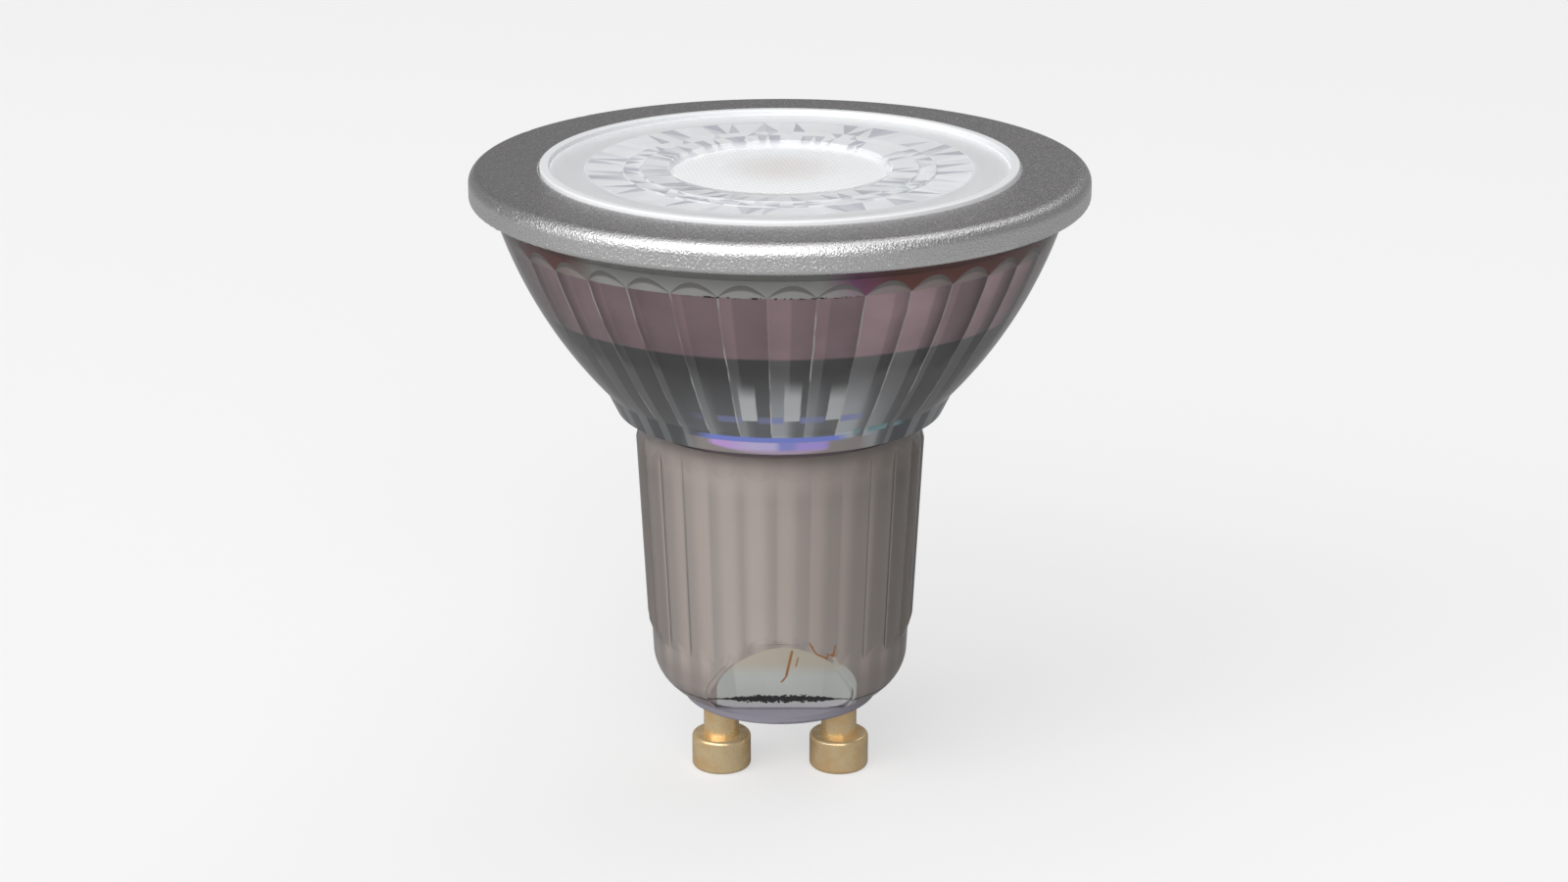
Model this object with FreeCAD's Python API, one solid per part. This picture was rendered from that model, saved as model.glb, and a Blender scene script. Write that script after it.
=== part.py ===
import FreeCAD, Part
import math
import os

Vector = FreeCAD.Vector

# A glass reflector lamp with a two-pin twist base. Millimetres, standing on its pins with the lens up:
# Z is the lamp's axis, the ends of the pins are at height 0, and the pins stand in a row along X.

# Contact pins
PIN_SPACING = 10.0
PIN_LENGTH = 7.15
PIN_HEAD_DIAMETER = 5.0
PIN_HEAD_HEIGHT = 3.0
PIN_HEAD_EDGE = 0.35
PIN_STEM_DIAMETER = 3.0
PIN_COLLAR_DIAMETER = 4.2
PIN_COLLAR_THICKNESS = 0.6
PIN_CRIMP_DIAMETER = 2.2
PIN_CRIMP_LENGTH = 3.4
PIN_CRIMP_BORE_DEPTH = 2.4

# Glass base and neck
BASE_DIAMETER = 21.3
FOOT_SETBACK = 2.45
FOOT_HEIGHT = 0.7
FOOT_EDGE = 0.25
BASE_FLOOR = 1.4
COLLAR_SEAT_MARGIN = 0.05
SHOULDER_HEIGHT = 3.05
SHOULDER_BULGE = 0.55
NECK_HEIGHT = 20.9
NECK_TOP_DIAMETER = 23.4
NECK_WALL = 1.5
FACET_RISE = 1.25
FACET_STEP = 0.4
FACET_STANDOFF = 0.05
FACET_TILT = 23.4
FACET_WALL = 1.35

# Ribs pressed on the outside of the neck
RIB_COUNT = 26
RIB_PHASE = 5.2
RIB_HEIGHT = 0.32
RIB_ROOT_DEPTH = 0.05
RIB_BOTTOM_MARGIN = 2.0
RIB_TOP_MARGIN = 0.9
RIB_END_LENGTH = 1.5

# Glass cup, with flutes pressed on its inside
CUP_HEIGHT = 18.2
CUP_BULGE = 1.55
CUP_WALL = 2.0
CUP_FLOOR_RISE = 1.6
RIM_HEIGHT = 0.7
RIM_WALL = 1.75
RIM_EDGE = 0.2
FLUTE_COUNT = 36
FLUTE_PHASE = 2.5
FLUTE_DEPTH = 0.45
FLUTE_STATIONS = 6
BAND_HEIGHT = 1.5
ARCH_SLOPE = 0.7
ARCH_REACH = 1.9

# Front bezel
BEZEL_DIAMETER = 50.0
BEZEL_OVERHANG = 1.8
BEZEL_FACE_WIDTH = 5.6
BEZEL_HEIGHT = 2.4
BEZEL_LIP = 1.05
BEZEL_TOP_EDGE = 1.0
BEZEL_LOWER_EDGE = 0.4
BEZEL_MOUTH_EDGE = 0.15

# Lens
LENS_FLANGE_THICKNESS = 0.8
LENS_FLANGE_OVERLAP = 2.6
LENS_RIM_RISE = 0.3
LENS_RIM_WIDTH = 0.8
LENS_RIM_EDGE = 0.15
LENS_FACE_DROP = 0.15
LENS_DISC_DIAMETER = 18.2
LENS_DISC_DROP = 0.5
LENS_DISC_BEVEL = 0.35
LENS_DISC_CROWN = 0.3
LENS_WALL_TOP_DIAMETER = 31.2
LENS_FOOT_DIAMETER = 11.8
LENS_FOOT_HEIGHT = 0.8
LENS_WALL_CURVE = 1.45
LENS_WALL_TIERS = 4
LENS_FACET_COUNT = 36
LENS_POCKET_DIAMETER = 10.0
LENS_POCKET_DEPTH = 4.2
LENS_POCKET_TAPER = 0.4
LENS_POCKET_CROWN = 1.2

# Sealant bead in the rim of the glass
BEAD_WIDTH = 1.1

# Heat sink liner and the light source on it
LINER_WALL = 1.0
LINER_FLOOR = 2.0
LINER_RISE = 0.05
LINER_TOP_DROP = 1.9
PAD_THICKNESS = 0.4
LED_BOARD_THICKNESS = 1.2
LED_CARRIER_DIAMETER = 9.0
LED_CARRIER_THICKNESS = 0.8
LED_PHOSPHOR_DIAMETER = 6.6
LED_PHOSPHOR_THICKNESS = 0.35
LED_PHOSPHOR_EDGE = 0.12

# Driver housing, its filler and the sealant under it
HOUSING_WALL = 0.9
HOUSING_FLOOR = 0.8
HOUSING_TOP_DROP = 0.5
FILLER_DEPTH = 2.4

# Driver circuit board and its components
BOARD_THICKNESS = 1.2
BOARD_HEIGHT = 13.2
BOARD_LIFT = 0.5
CAPACITOR_DIAMETER = 6.3
CAPACITOR_LENGTH = 9.0
CAPACITOR_EDGE = 0.4
CAPACITOR_GROOVE_HEIGHT = 1.4
CAPACITOR_GROOVE_DEPTH = 0.35
INDUCTOR_DIAMETER = 6.2
INDUCTOR_HEIGHT = 5.0
INDUCTOR_FLANGE = 0.9
INDUCTOR_CORE_DIAMETER = 3.0
INDUCTOR_WINDING_DIAMETER = 5.6
FUSE_DIAMETER = 2.5
FUSE_LENGTH = 6.0
FUSE_WAIST_DIAMETER = 2.1
FUSE_CAP_LENGTH = 1.2
FILM_WIDTH = 5.4
FILM_DEPTH = 3.8
FILM_HEIGHT = 6.5
FILM_EDGE = 0.4
BRIDGE_WIDTH = 4.6
BRIDGE_DEPTH = 2.2
BRIDGE_HEIGHT = 4.0
BRIDGE_LEGS = 2
CHIP_WIDTH = 3.9
CHIP_DEPTH = 1.4
CHIP_HEIGHT = 4.9
CHIP_LEGS = 4
LEG_WIDTH = 0.42
LEG_THICKNESS = 0.2
LEG_REACH = 0.7
PACKAGE_EDGE = 0.2
RESISTOR_WIDTH = 0.8
RESISTOR_DEPTH = 0.5
RESISTOR_HEIGHT = 1.6
RESISTOR_COUNT = 4
COMPONENT_GAP = 0.4

# Leads
PIN_LEAD_DIAMETER = 0.9
PIN_LEAD_OVERLAP = 3.0
LED_LEAD_DIAMETER = 0.8
LED_LEAD_OVERLAP = 4.5
LED_LEAD_BEND = 0.8
LED_LEAD_PAD_RUN = 1.0
LED_LEAD_INSET = 1.3

# Clearances
LINER_GAP = 0.15
HOUSING_GAP = 0.15
FILL_GAP = 0.05
PIN_HOLE_GAP = 0.05
BEZEL_GAP = 0.1
LENS_GAP = 0.1
SEAT_GAP = 0.05
BOARD_EDGE_GAP = 0.2
LED_BOARD_GAP = 0.4
LEAD_HOLE_GAP = 0.3
SOLDER_GAP = 0.05

# A cutting tool runs past the faces that it opens by this much.
CUT_OVERRUN = 1.0
# A rounded corner takes at most this share of the shorter side beside it.
CORNER_SHARE = 0.48

# Heights of the glass, from the ends of the pins upwards
BASE_Z = PIN_LENGTH
FLOOR_Z = BASE_Z + BASE_FLOOR
FOOT_TOP_Z = BASE_Z + FOOT_HEIGHT
NECK_Z = FOOT_TOP_Z + SHOULDER_HEIGHT
CUP_Z = NECK_Z + NECK_HEIGHT
CAVITY_Z = CUP_Z + CUP_FLOOR_RISE
RIM_Z = CUP_Z + CUP_HEIGHT
GLASS_TOP_Z = RIM_Z + RIM_HEIGHT
ARCH_Z = GLASS_TOP_Z - BAND_HEIGHT

# Heights of the bezel and the lens on the glass rim
FLANGE_TOP_Z = GLASS_TOP_Z + LENS_FLANGE_THICKNESS
BEZEL_TOP_Z = FLANGE_TOP_Z + SEAT_GAP + BEZEL_LIP
LENS_TOP_Z = BEZEL_TOP_Z + LENS_RIM_RISE
LENS_FACE_Z = BEZEL_TOP_Z - LENS_FACE_DROP

# Heights of the liner, and of what is stacked on its floor
LINER_Z = CUP_Z + LINER_RISE
LINER_FLOOR_Z = LINER_Z + LINER_FLOOR
LINER_TOP_Z = ARCH_Z - LINER_TOP_DROP
LED_BOARD_Z = LINER_FLOOR_Z + PAD_THICKNESS
LED_CARRIER_Z = LED_BOARD_Z + LED_BOARD_THICKNESS
LED_PHOSPHOR_Z = LED_CARRIER_Z + LED_CARRIER_THICKNESS

# Radii that several pieces share
BASE_RADIUS = BASE_DIAMETER / 2
FOOT_RADIUS = BASE_RADIUS - FOOT_SETBACK
NECK_TOP_RADIUS = NECK_TOP_DIAMETER / 2
BEZEL_RADIUS = BEZEL_DIAMETER / 2
RIM_RADIUS = BEZEL_RADIUS - BEZEL_OVERHANG
BAND_RADIUS = RIM_RADIUS - RIM_WALL
SKIRT_RADIUS = RIM_RADIUS + BEZEL_GAP
OPENING_RADIUS = BEZEL_RADIUS - BEZEL_FACE_WIDTH
LENS_RIM_RADIUS = OPENING_RADIUS - LENS_GAP
LENS_FLANGE_RADIUS = LENS_RIM_RADIUS + LENS_FLANGE_OVERLAP
PIN_LEAD_RADIUS = PIN_LEAD_DIAMETER / 2
LED_LEAD_RADIUS = LED_LEAD_DIAMETER / 2
LINER_INSET = CUP_WALL + LINER_GAP + LINER_WALL


class Outline:
    """A closed section in the plane of radius and height, drawn anticlockwise and turned about Z."""

    def __init__(self):
        self.corners = []

    def to(self, radius, height, rounding=0.0, bulge=0.0):
        """Adds a corner. The side that leads to it bows outwards by the bulge."""
        self.corners.append((Vector(radius, 0, height), rounding, bulge))
        return self

    def rounded_corner(self, index):
        """The points where a corner's rounding starts, turns and ends."""
        point, rounding, _ = self.corners[index]
        if not rounding:
            return point, None, point
        back = self.corners[index - 1][0] - point
        ahead = self.corners[(index + 1) % len(self.corners)][0] - point
        half_angle = back.getAngle(ahead) / 2
        room = CORNER_SHARE * min(back.Length, ahead.Length)
        reach = min(rounding / math.tan(half_angle), room)
        radius = reach * math.tan(half_angle)
        back.normalize()
        ahead.normalize()
        inwards = (back + ahead).normalize()
        middle = point + inwards * (radius / math.sin(half_angle) - radius)
        return point + back * reach, middle, point + ahead * reach

    def face(self):
        rounded = [self.rounded_corner(index) for index in range(len(self.corners))]
        edges = []
        for index, (entry, middle, leave) in enumerate(rounded):
            start = rounded[index - 1][2]
            bulge = self.corners[index][2]
            if bulge:
                edges.append(bowed_edge(start, entry, bulge))
            else:
                edges.append(Part.LineSegment(start, entry).toShape())
            if middle:
                edges.append(Part.Arc(entry, middle, leave).toShape())
        return Part.Face(Part.Wire(edges))

    def turned(self):
        return self.face().revolve(Vector(), Vector(0, 0, 1), 360)


def right_of(start, end):
    """The unit vector to the right of the way from start to end, seen with radius across and Z up."""
    along = end - start
    return Vector(along.z, 0, -along.x).normalize()


def bowed_edge(start, end, bulge):
    middle = (start + end) * 0.5 + right_of(start, end) * bulge
    return Part.Arc(start, middle, end).toShape()


def cap_bulge(radius, crown):
    """The bow of the line from the edge of a round cap to its crown, for a cap that is part of a sphere."""
    sphere = (radius ** 2 + crown ** 2) / (2 * crown)
    return sphere - math.sqrt(sphere ** 2 - (radius ** 2 + crown ** 2) / 4)


def cylinder(diameter, low, high, x=0.0, y=0.0):
    return Part.makeCylinder(diameter / 2, high - low, Vector(x, y, low))


def block(width, depth, height, x, y, z):
    """A box centred on x, with its face nearest the viewer at y and its underside at z."""
    return Part.makeBox(width, depth, height, Vector(x - width / 2, y, z))


def ring_point(radius, degrees, height):
    angle = math.radians(degrees)
    return Vector(radius * math.cos(angle), radius * math.sin(angle), height)


def lobed_wire(count, phase, height, valley, crest):
    """A closed ring of equal arcs that bulge outwards from the valley radius to the crest radius."""
    step = 360.0 / count
    edges = []
    for index in range(count):
        start = phase + (index - 0.5) * step
        first = ring_point(valley, start, height)
        middle = ring_point(crest, start + step / 2, height)
        last = ring_point(valley, start + step, height)
        edges.append(Part.Arc(first, middle, last).toShape())
    return Part.Wire(edges)


def polygon_wire(count, phase, height, radius):
    step = 360.0 / count
    corners = [ring_point(radius, phase + (index - 0.5) * step, height) for index in range(count)]
    return Part.makePolygon(corners + corners[:1])


def evenly(low, high, count):
    return [low + (high - low) * index / (count - 1) for index in range(count)]


def neck_radius(height):
    """The outside of the neck between its ribs."""
    share = (height - NECK_Z) / NECK_HEIGHT
    return BASE_RADIUS + (NECK_TOP_RADIUS - BASE_RADIUS) * share


def bore_radius(height):
    return neck_radius(height) - NECK_WALL


def floor_fillet():
    """The round of the floor's corner, which starts just outside the collars that seat on the floor."""
    collars = (PIN_SPACING + PIN_COLLAR_DIAMETER) / 2
    return bore_radius(FLOOR_Z) - collars - COLLAR_SEAT_MARGIN


def cup_circle():
    """The centre and the radius of the arc that the outside of the cup follows."""
    start = Vector(NECK_TOP_RADIUS, 0, CUP_Z)
    end = Vector(RIM_RADIUS, 0, RIM_Z)
    half_chord = (end - start).Length / 2
    bend = (half_chord ** 2 + CUP_BULGE ** 2) / (2 * CUP_BULGE)
    centre = (start + end) * 0.5 - right_of(start, end) * (bend - CUP_BULGE)
    return centre, bend


def cup_radius(height, inset):
    """The radius of the cup's wall, the inset measured square to the wall from its outside."""
    centre, bend = cup_circle()
    return centre.x + math.sqrt((bend - inset) ** 2 - (height - centre.z) ** 2)


def cup_bulge(low, high, inset):
    """How far an inset wall of the cup bows out between two heights."""
    bend = cup_circle()[1] - inset
    chord = math.hypot(cup_radius(high, inset) - cup_radius(low, inset), high - low)
    return bend - math.sqrt(bend ** 2 - (chord / 2) ** 2)


def facet_y(height, inset):
    """How far a slanted flat of the base, or a plane inset from it, stands from the pins' row."""
    tilt = math.radians(FACET_TILT)
    foot = FOOT_RADIUS - FACET_STEP
    return foot + (height - BASE_Z - FACET_RISE) * math.tan(tilt) - inset / math.cos(tilt)


def facet_top():
    """The height where the inner face of a slanted flat runs out into the round bore."""
    slope = (bore_radius(CUP_Z) - bore_radius(NECK_Z)) / NECK_HEIGHT
    tilt = math.tan(math.radians(FACET_TILT))
    return NECK_Z + (bore_radius(NECK_Z) - facet_y(NECK_Z, FACET_WALL)) / (tilt - slope)


def liner_inside(height):
    return cup_radius(height, LINER_INSET)


LED_BOARD_RADIUS = liner_inside(LINER_FLOOR_Z) - LED_BOARD_GAP
LED_LEAD_X = LED_BOARD_RADIUS - LED_LEAD_INSET
SEALANT_TOP_Z = facet_top()
HOUSING_Z = SEALANT_TOP_Z + SEAT_GAP
HOUSING_FLOOR_Z = HOUSING_Z + HOUSING_FLOOR
HOUSING_TOP_Z = LINER_Z - HOUSING_TOP_DROP
FILLER_TOP_Z = HOUSING_FLOOR_Z + FILLER_DEPTH
BOARD_Z = HOUSING_FLOOR_Z + BOARD_LIFT
BOARD_FRONT_Y = PIN_LEAD_RADIUS + SOLDER_GAP
BOARD_BACK_Y = BOARD_FRONT_Y + BOARD_THICKNESS
PIN_LEAD_TOP_Z = BOARD_Z + PIN_LEAD_OVERLAP
LED_LEAD_Y = BOARD_BACK_Y + LED_LEAD_RADIUS + SOLDER_GAP
PART_BOTTOM_Z = PIN_LEAD_TOP_Z + COMPONENT_GAP
BACK_BOTTOM_Z = FILLER_TOP_Z + COMPONENT_GAP


def pin_places():
    return {"left": -PIN_SPACING / 2, "right": PIN_SPACING / 2}


def led_lead_places():
    return {"negative": -LED_LEAD_X, "positive": LED_LEAD_X}


def flat_prisms(points):
    """A section in depth and height, run across the lamp and mirrored to the front and the back."""
    reach = BASE_DIAMETER
    corners = [Vector(-reach / 2, y, z) for y, z in points]
    prism = Part.Face(Part.makePolygon(corners + corners[:1])).extrude(Vector(reach, 0, 0))
    return prism.fuse(prism.mirror(Vector(), Vector(0, 1, 0)))


def outer_facets():
    """What the two slanted flats, and the ledge of the foot below them, take off the round base."""
    low = BASE_Z + FACET_RISE
    high = CUP_Z
    clear = BASE_DIAMETER
    under = BASE_Z - CUT_OVERRUN
    rim = FOOT_RADIUS + FACET_STANDOFF
    slant = [(facet_y(low, 0), low), (facet_y(high, 0), high)]
    return flat_prisms(slant + [(clear, high), (clear, under), (rim, under), (rim, low)])


def inner_facets(inset):
    """What the slanted flats take off a round piece inside the base."""
    low = BASE_Z - CUT_OVERRUN
    high = CUP_Z
    clear = BASE_DIAMETER
    slant = [(facet_y(low, inset), low), (facet_y(high, inset), high)]
    return flat_prisms(slant + [(clear, high), (clear, low)])


def neck_ribs():
    """Reeded ribs round the neck, with ends that run out into it as small arches."""
    low = NECK_Z + RIB_BOTTOM_MARGIN
    high = CUP_Z - RIB_TOP_MARGIN
    sections = []
    for height in (low, high):
        valley = neck_radius(height) - RIB_ROOT_DEPTH
        crest = neck_radius(height) + RIB_HEIGHT
        sections.append(lobed_wire(RIB_COUNT, RIB_PHASE - 90, height, valley, crest))
    reeds = Part.makeLoft(sections, True, True)
    clear = RIB_HEIGHT + RIB_ROOT_DEPTH
    full_low = low + RIB_END_LENGTH
    full_high = high - RIB_END_LENGTH
    ends = Outline().to(0, low).to(neck_radius(low) - RIB_ROOT_DEPTH, low)
    ends.to(neck_radius(full_low) + clear, full_low).to(neck_radius(full_high) + clear, full_high)
    ends.to(neck_radius(high) - RIB_ROOT_DEPTH, high).to(0, high)
    return reeds.common(ends.turned())


def fluted_hollow():
    """The inside of the cup: lobes that meet in cusps, under a plain band where they end as arches."""
    stations = []
    top_valley = cup_radius(ARCH_Z, CUP_WALL)
    for height in evenly(CAVITY_Z, ARCH_Z, FLUTE_STATIONS):
        valley = cup_radius(height, CUP_WALL)
        crest = valley + FLUTE_DEPTH * valley / top_valley
        stations.append(lobed_wire(FLUTE_COUNT, FLUTE_PHASE - 90, height, valley, crest))
    lobes = Part.makeLoft(stations, True, False)
    low = ARCH_Z - ARCH_REACH
    high = GLASS_TOP_Z + CUT_OVERRUN
    band = Outline().to(0, low).to(BAND_RADIUS - ARCH_REACH * ARCH_SLOPE, low)
    band.to(BAND_RADIUS, ARCH_Z).to(BAND_RADIUS, high).to(0, high)
    return lobes.fuse(band.turned())


def glass_envelope():
    outside = Outline().to(0, BASE_Z).to(FOOT_RADIUS, BASE_Z, FOOT_EDGE).to(FOOT_RADIUS, FOOT_TOP_Z)
    outside.to(BASE_RADIUS, NECK_Z, bulge=SHOULDER_BULGE).to(NECK_TOP_RADIUS, CUP_Z)
    outside.to(RIM_RADIUS, RIM_Z, bulge=CUP_BULGE).to(RIM_RADIUS, GLASS_TOP_Z, RIM_EDGE).to(0, GLASS_TOP_Z)
    body = outside.turned().fuse(neck_ribs()).cut(outer_facets())
    bore = Outline().to(0, FLOOR_Z).to(bore_radius(FLOOR_Z), FLOOR_Z, floor_fillet())
    bore.to(bore_radius(CAVITY_Z), CAVITY_Z).to(0, CAVITY_Z)
    body = body.cut(bore.turned().cut(inner_facets(FACET_WALL)))
    body = body.cut(fluted_hollow())
    hole = PIN_STEM_DIAMETER + 2 * PIN_HOLE_GAP
    for x in pin_places().values():
        body = body.cut(cylinder(hole, BASE_Z - CUT_OVERRUN, FLOOR_Z + CUT_OVERRUN, x))
    return body


def front_bezel():
    low = BEZEL_TOP_Z - BEZEL_HEIGHT
    lip = BEZEL_TOP_Z - BEZEL_LIP
    ring = Outline().to(SKIRT_RADIUS, low).to(BEZEL_RADIUS, low, BEZEL_LOWER_EDGE)
    ring.to(BEZEL_RADIUS, BEZEL_TOP_Z, BEZEL_TOP_EDGE).to(OPENING_RADIUS, BEZEL_TOP_Z, BEZEL_MOUTH_EDGE)
    ring.to(OPENING_RADIUS, lip).to(SKIRT_RADIUS, lip)
    return ring.turned()


def lens_wall():
    """The faceted wall that gathers the light, in tiers that steepen towards the front."""
    low = LED_CARRIER_Z + LENS_FOOT_HEIGHT
    narrow = LENS_FOOT_DIAMETER / 2
    wide = LENS_WALL_TOP_DIAMETER / 2
    tiers = []
    for height in evenly(low, GLASS_TOP_Z, LENS_WALL_TIERS + 1):
        share = (height - low) / (GLASS_TOP_Z - low)
        radius = narrow + (wide - narrow) * (1 - (1 - share) ** LENS_WALL_CURVE)
        tiers.append(polygon_wire(LENS_FACET_COUNT, FLUTE_PHASE, height, radius))
    return Part.makeLoft(tiers, True, True)


def lens():
    foot_radius = LENS_FOOT_DIAMETER / 2
    disc_radius = LENS_DISC_DIAMETER / 2
    cap_radius = disc_radius - LENS_DISC_BEVEL
    disc_z = LENS_FACE_Z - LENS_DISC_DROP
    rim_inside = LENS_RIM_RADIUS - LENS_RIM_WIDTH
    front = Outline().to(0, GLASS_TOP_Z).to(LENS_FLANGE_RADIUS, GLASS_TOP_Z)
    front.to(LENS_FLANGE_RADIUS, FLANGE_TOP_Z).to(LENS_RIM_RADIUS, FLANGE_TOP_Z)
    front.to(LENS_RIM_RADIUS, LENS_TOP_Z, LENS_RIM_EDGE)
    front.to(rim_inside, LENS_TOP_Z, LENS_RIM_EDGE).to(rim_inside, LENS_FACE_Z).to(disc_radius, LENS_FACE_Z)
    front.to(cap_radius, disc_z)
    front.to(0, disc_z + LENS_DISC_CROWN, bulge=cap_bulge(cap_radius, LENS_DISC_CROWN))
    foot = cylinder(2 * foot_radius, LED_CARRIER_Z, LED_CARRIER_Z + LENS_FOOT_HEIGHT)
    body = lens_wall().fuse([front.turned(), foot])
    pocket_radius = LENS_POCKET_DIAMETER / 2
    pocket_low = LED_CARRIER_Z - CUT_OVERRUN
    pocket_high = LED_CARRIER_Z + LENS_POCKET_DEPTH
    pocket = Outline().to(0, pocket_low).to(pocket_radius, pocket_low).to(pocket_radius, LED_CARRIER_Z)
    ceiling_radius = pocket_radius - LENS_POCKET_TAPER
    pocket.to(ceiling_radius, pocket_high)
    pocket.to(0, pocket_high - LENS_POCKET_CROWN, bulge=-cap_bulge(ceiling_radius, LENS_POCKET_CROWN))
    return body.cut(pocket.turned())


def rim_sealant():
    inside = BAND_RADIUS - BEAD_WIDTH
    outside = BAND_RADIUS - FILL_GAP
    high = GLASS_TOP_Z - FILL_GAP
    return Outline().to(inside, ARCH_Z).to(outside, ARCH_Z).to(outside, high).to(inside, high).turned()


def lead_holes(low, high):
    """Holes for the two leads of the light source, through whatever lies between two heights."""
    diameter = LED_LEAD_DIAMETER + 2 * LEAD_HOLE_GAP
    holes = [cylinder(diameter, low, high, x, LED_LEAD_Y) for x in led_lead_places().values()]
    return holes[0].fuse(holes[1])


def heat_sink_liner():
    """A drawn cup with a flat-sided outside, one flat behind each flute of the glass, and a thick floor."""
    low = CAVITY_Z + LINER_GAP
    stations = []
    for height in evenly(low, LINER_TOP_Z, FLUTE_STATIONS):
        radius = cup_radius(height, CUP_WALL) - LINER_GAP
        stations.append(polygon_wire(FLUTE_COUNT, FLUTE_PHASE - 90, height, radius))
    cup = Part.makeLoft(stations, True, False)
    floor = cylinder(2 * (bore_radius(LINER_Z) - LINER_GAP), LINER_Z, low + LINER_GAP)
    high = LINER_TOP_Z + CUT_OVERRUN
    hollow = Outline().to(0, LINER_FLOOR_Z).to(liner_inside(LINER_FLOOR_Z), LINER_FLOOR_Z)
    hollow.to(liner_inside(high), high, bulge=cup_bulge(LINER_FLOOR_Z, high, LINER_INSET)).to(0, high)
    body = cup.fuse(floor).cut(hollow.turned())
    return body.cut(lead_holes(LINER_Z - CUT_OVERRUN, LINER_FLOOR_Z + CUT_OVERRUN))


def thermal_pad():
    disc = cylinder(2 * LED_BOARD_RADIUS, LINER_FLOOR_Z, LED_BOARD_Z)
    return disc.cut(lead_holes(LINER_Z, LED_CARRIER_Z))


def led_board():
    disc = cylinder(2 * LED_BOARD_RADIUS, LED_BOARD_Z, LED_CARRIER_Z)
    return disc.cut(lead_holes(LINER_Z, LED_PHOSPHOR_Z))


def led_carrier():
    return cylinder(LED_CARRIER_DIAMETER, LED_CARRIER_Z, LED_PHOSPHOR_Z)


def led_phosphor():
    radius = LED_PHOSPHOR_DIAMETER / 2
    high = LED_PHOSPHOR_Z + LED_PHOSPHOR_THICKNESS
    disc = Outline().to(0, LED_PHOSPHOR_Z).to(radius, LED_PHOSPHOR_Z).to(radius, high, LED_PHOSPHOR_EDGE)
    return disc.to(0, high).turned()


def led_lead(x):
    """A lead from the driver board up through the liner's floor, bent over onto the light board."""
    low = BOARD_Z + BOARD_HEIGHT - LED_LEAD_OVERLAP
    run_z = LED_CARRIER_Z + SOLDER_GAP + LED_LEAD_RADIUS
    bend_z = run_z - LED_LEAD_BEND
    corner = LED_LEAD_BEND * (1 - math.cos(math.radians(45)))
    start = Vector(x, LED_LEAD_Y, low)
    bend_start = Vector(x, LED_LEAD_Y, bend_z)
    bend_middle = Vector(x, LED_LEAD_Y - corner, run_z - corner)
    bend_end = Vector(x, LED_LEAD_Y - LED_LEAD_BEND, run_z)
    end = bend_end - Vector(0, LED_LEAD_PAD_RUN, 0)
    upright = Part.LineSegment(start, bend_start).toShape()
    bend = Part.Arc(bend_start, bend_middle, bend_end).toShape()
    run = Part.LineSegment(bend_end, end).toShape()
    section = Part.Wire(Part.makeCircle(LED_LEAD_RADIUS, start, Vector(0, 0, 1)))
    return Part.Wire([upright, bend, run]).makePipeShell([section], True, True)


def driver_housing():
    """An insulating sleeve in the neck, closed below, with a hole for the lead of each pin."""
    outside_low = bore_radius(HOUSING_Z) - HOUSING_GAP
    outside_high = bore_radius(HOUSING_TOP_Z) - HOUSING_GAP
    sleeve = Outline().to(0, HOUSING_Z).to(outside_low, HOUSING_Z).to(outside_high, HOUSING_TOP_Z)
    sleeve.to(housing_inside(HOUSING_TOP_Z), HOUSING_TOP_Z)
    sleeve.to(housing_inside(HOUSING_FLOOR_Z), HOUSING_FLOOR_Z)
    body = sleeve.to(0, HOUSING_FLOOR_Z).turned()
    hole = PIN_LEAD_DIAMETER + 2 * LEAD_HOLE_GAP
    for x in pin_places().values():
        body = body.cut(cylinder(hole, HOUSING_Z - CUT_OVERRUN, HOUSING_FLOOR_Z + CUT_OVERRUN, x))
    return body


def housing_inside(height):
    return bore_radius(height) - HOUSING_GAP - HOUSING_WALL


def board_width():
    """The widest board that the narrower end of the housing takes."""
    radius = min(housing_inside(BOARD_Z), housing_inside(BOARD_Z + BOARD_HEIGHT))
    return 2 * (math.sqrt(radius ** 2 - BOARD_BACK_Y ** 2) - BOARD_EDGE_GAP)


def driver_board():
    return block(board_width(), BOARD_THICKNESS, BOARD_HEIGHT, 0, BOARD_FRONT_Y, BOARD_Z)


def driver_filler():
    """Filler poured round the foot of the board in the housing."""
    low = housing_inside(HOUSING_FLOOR_Z) - FILL_GAP
    high = housing_inside(FILLER_TOP_Z) - FILL_GAP
    plug = Outline().to(0, HOUSING_FLOOR_Z).to(low, HOUSING_FLOOR_Z).to(high, FILLER_TOP_Z)
    body = plug.to(0, FILLER_TOP_Z).turned()
    slot = block(board_width() + 2 * FILL_GAP, BOARD_THICKNESS + 2 * FILL_GAP, BOARD_HEIGHT,
                 0, BOARD_FRONT_Y - FILL_GAP, BOARD_Z)
    body = body.cut(slot)
    for x in pin_places().values():
        hole = PIN_LEAD_DIAMETER + 2 * FILL_GAP
        body = body.cut(cylinder(hole, HOUSING_Z, FILLER_TOP_Z + CUT_OVERRUN, x))
    return body


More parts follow.
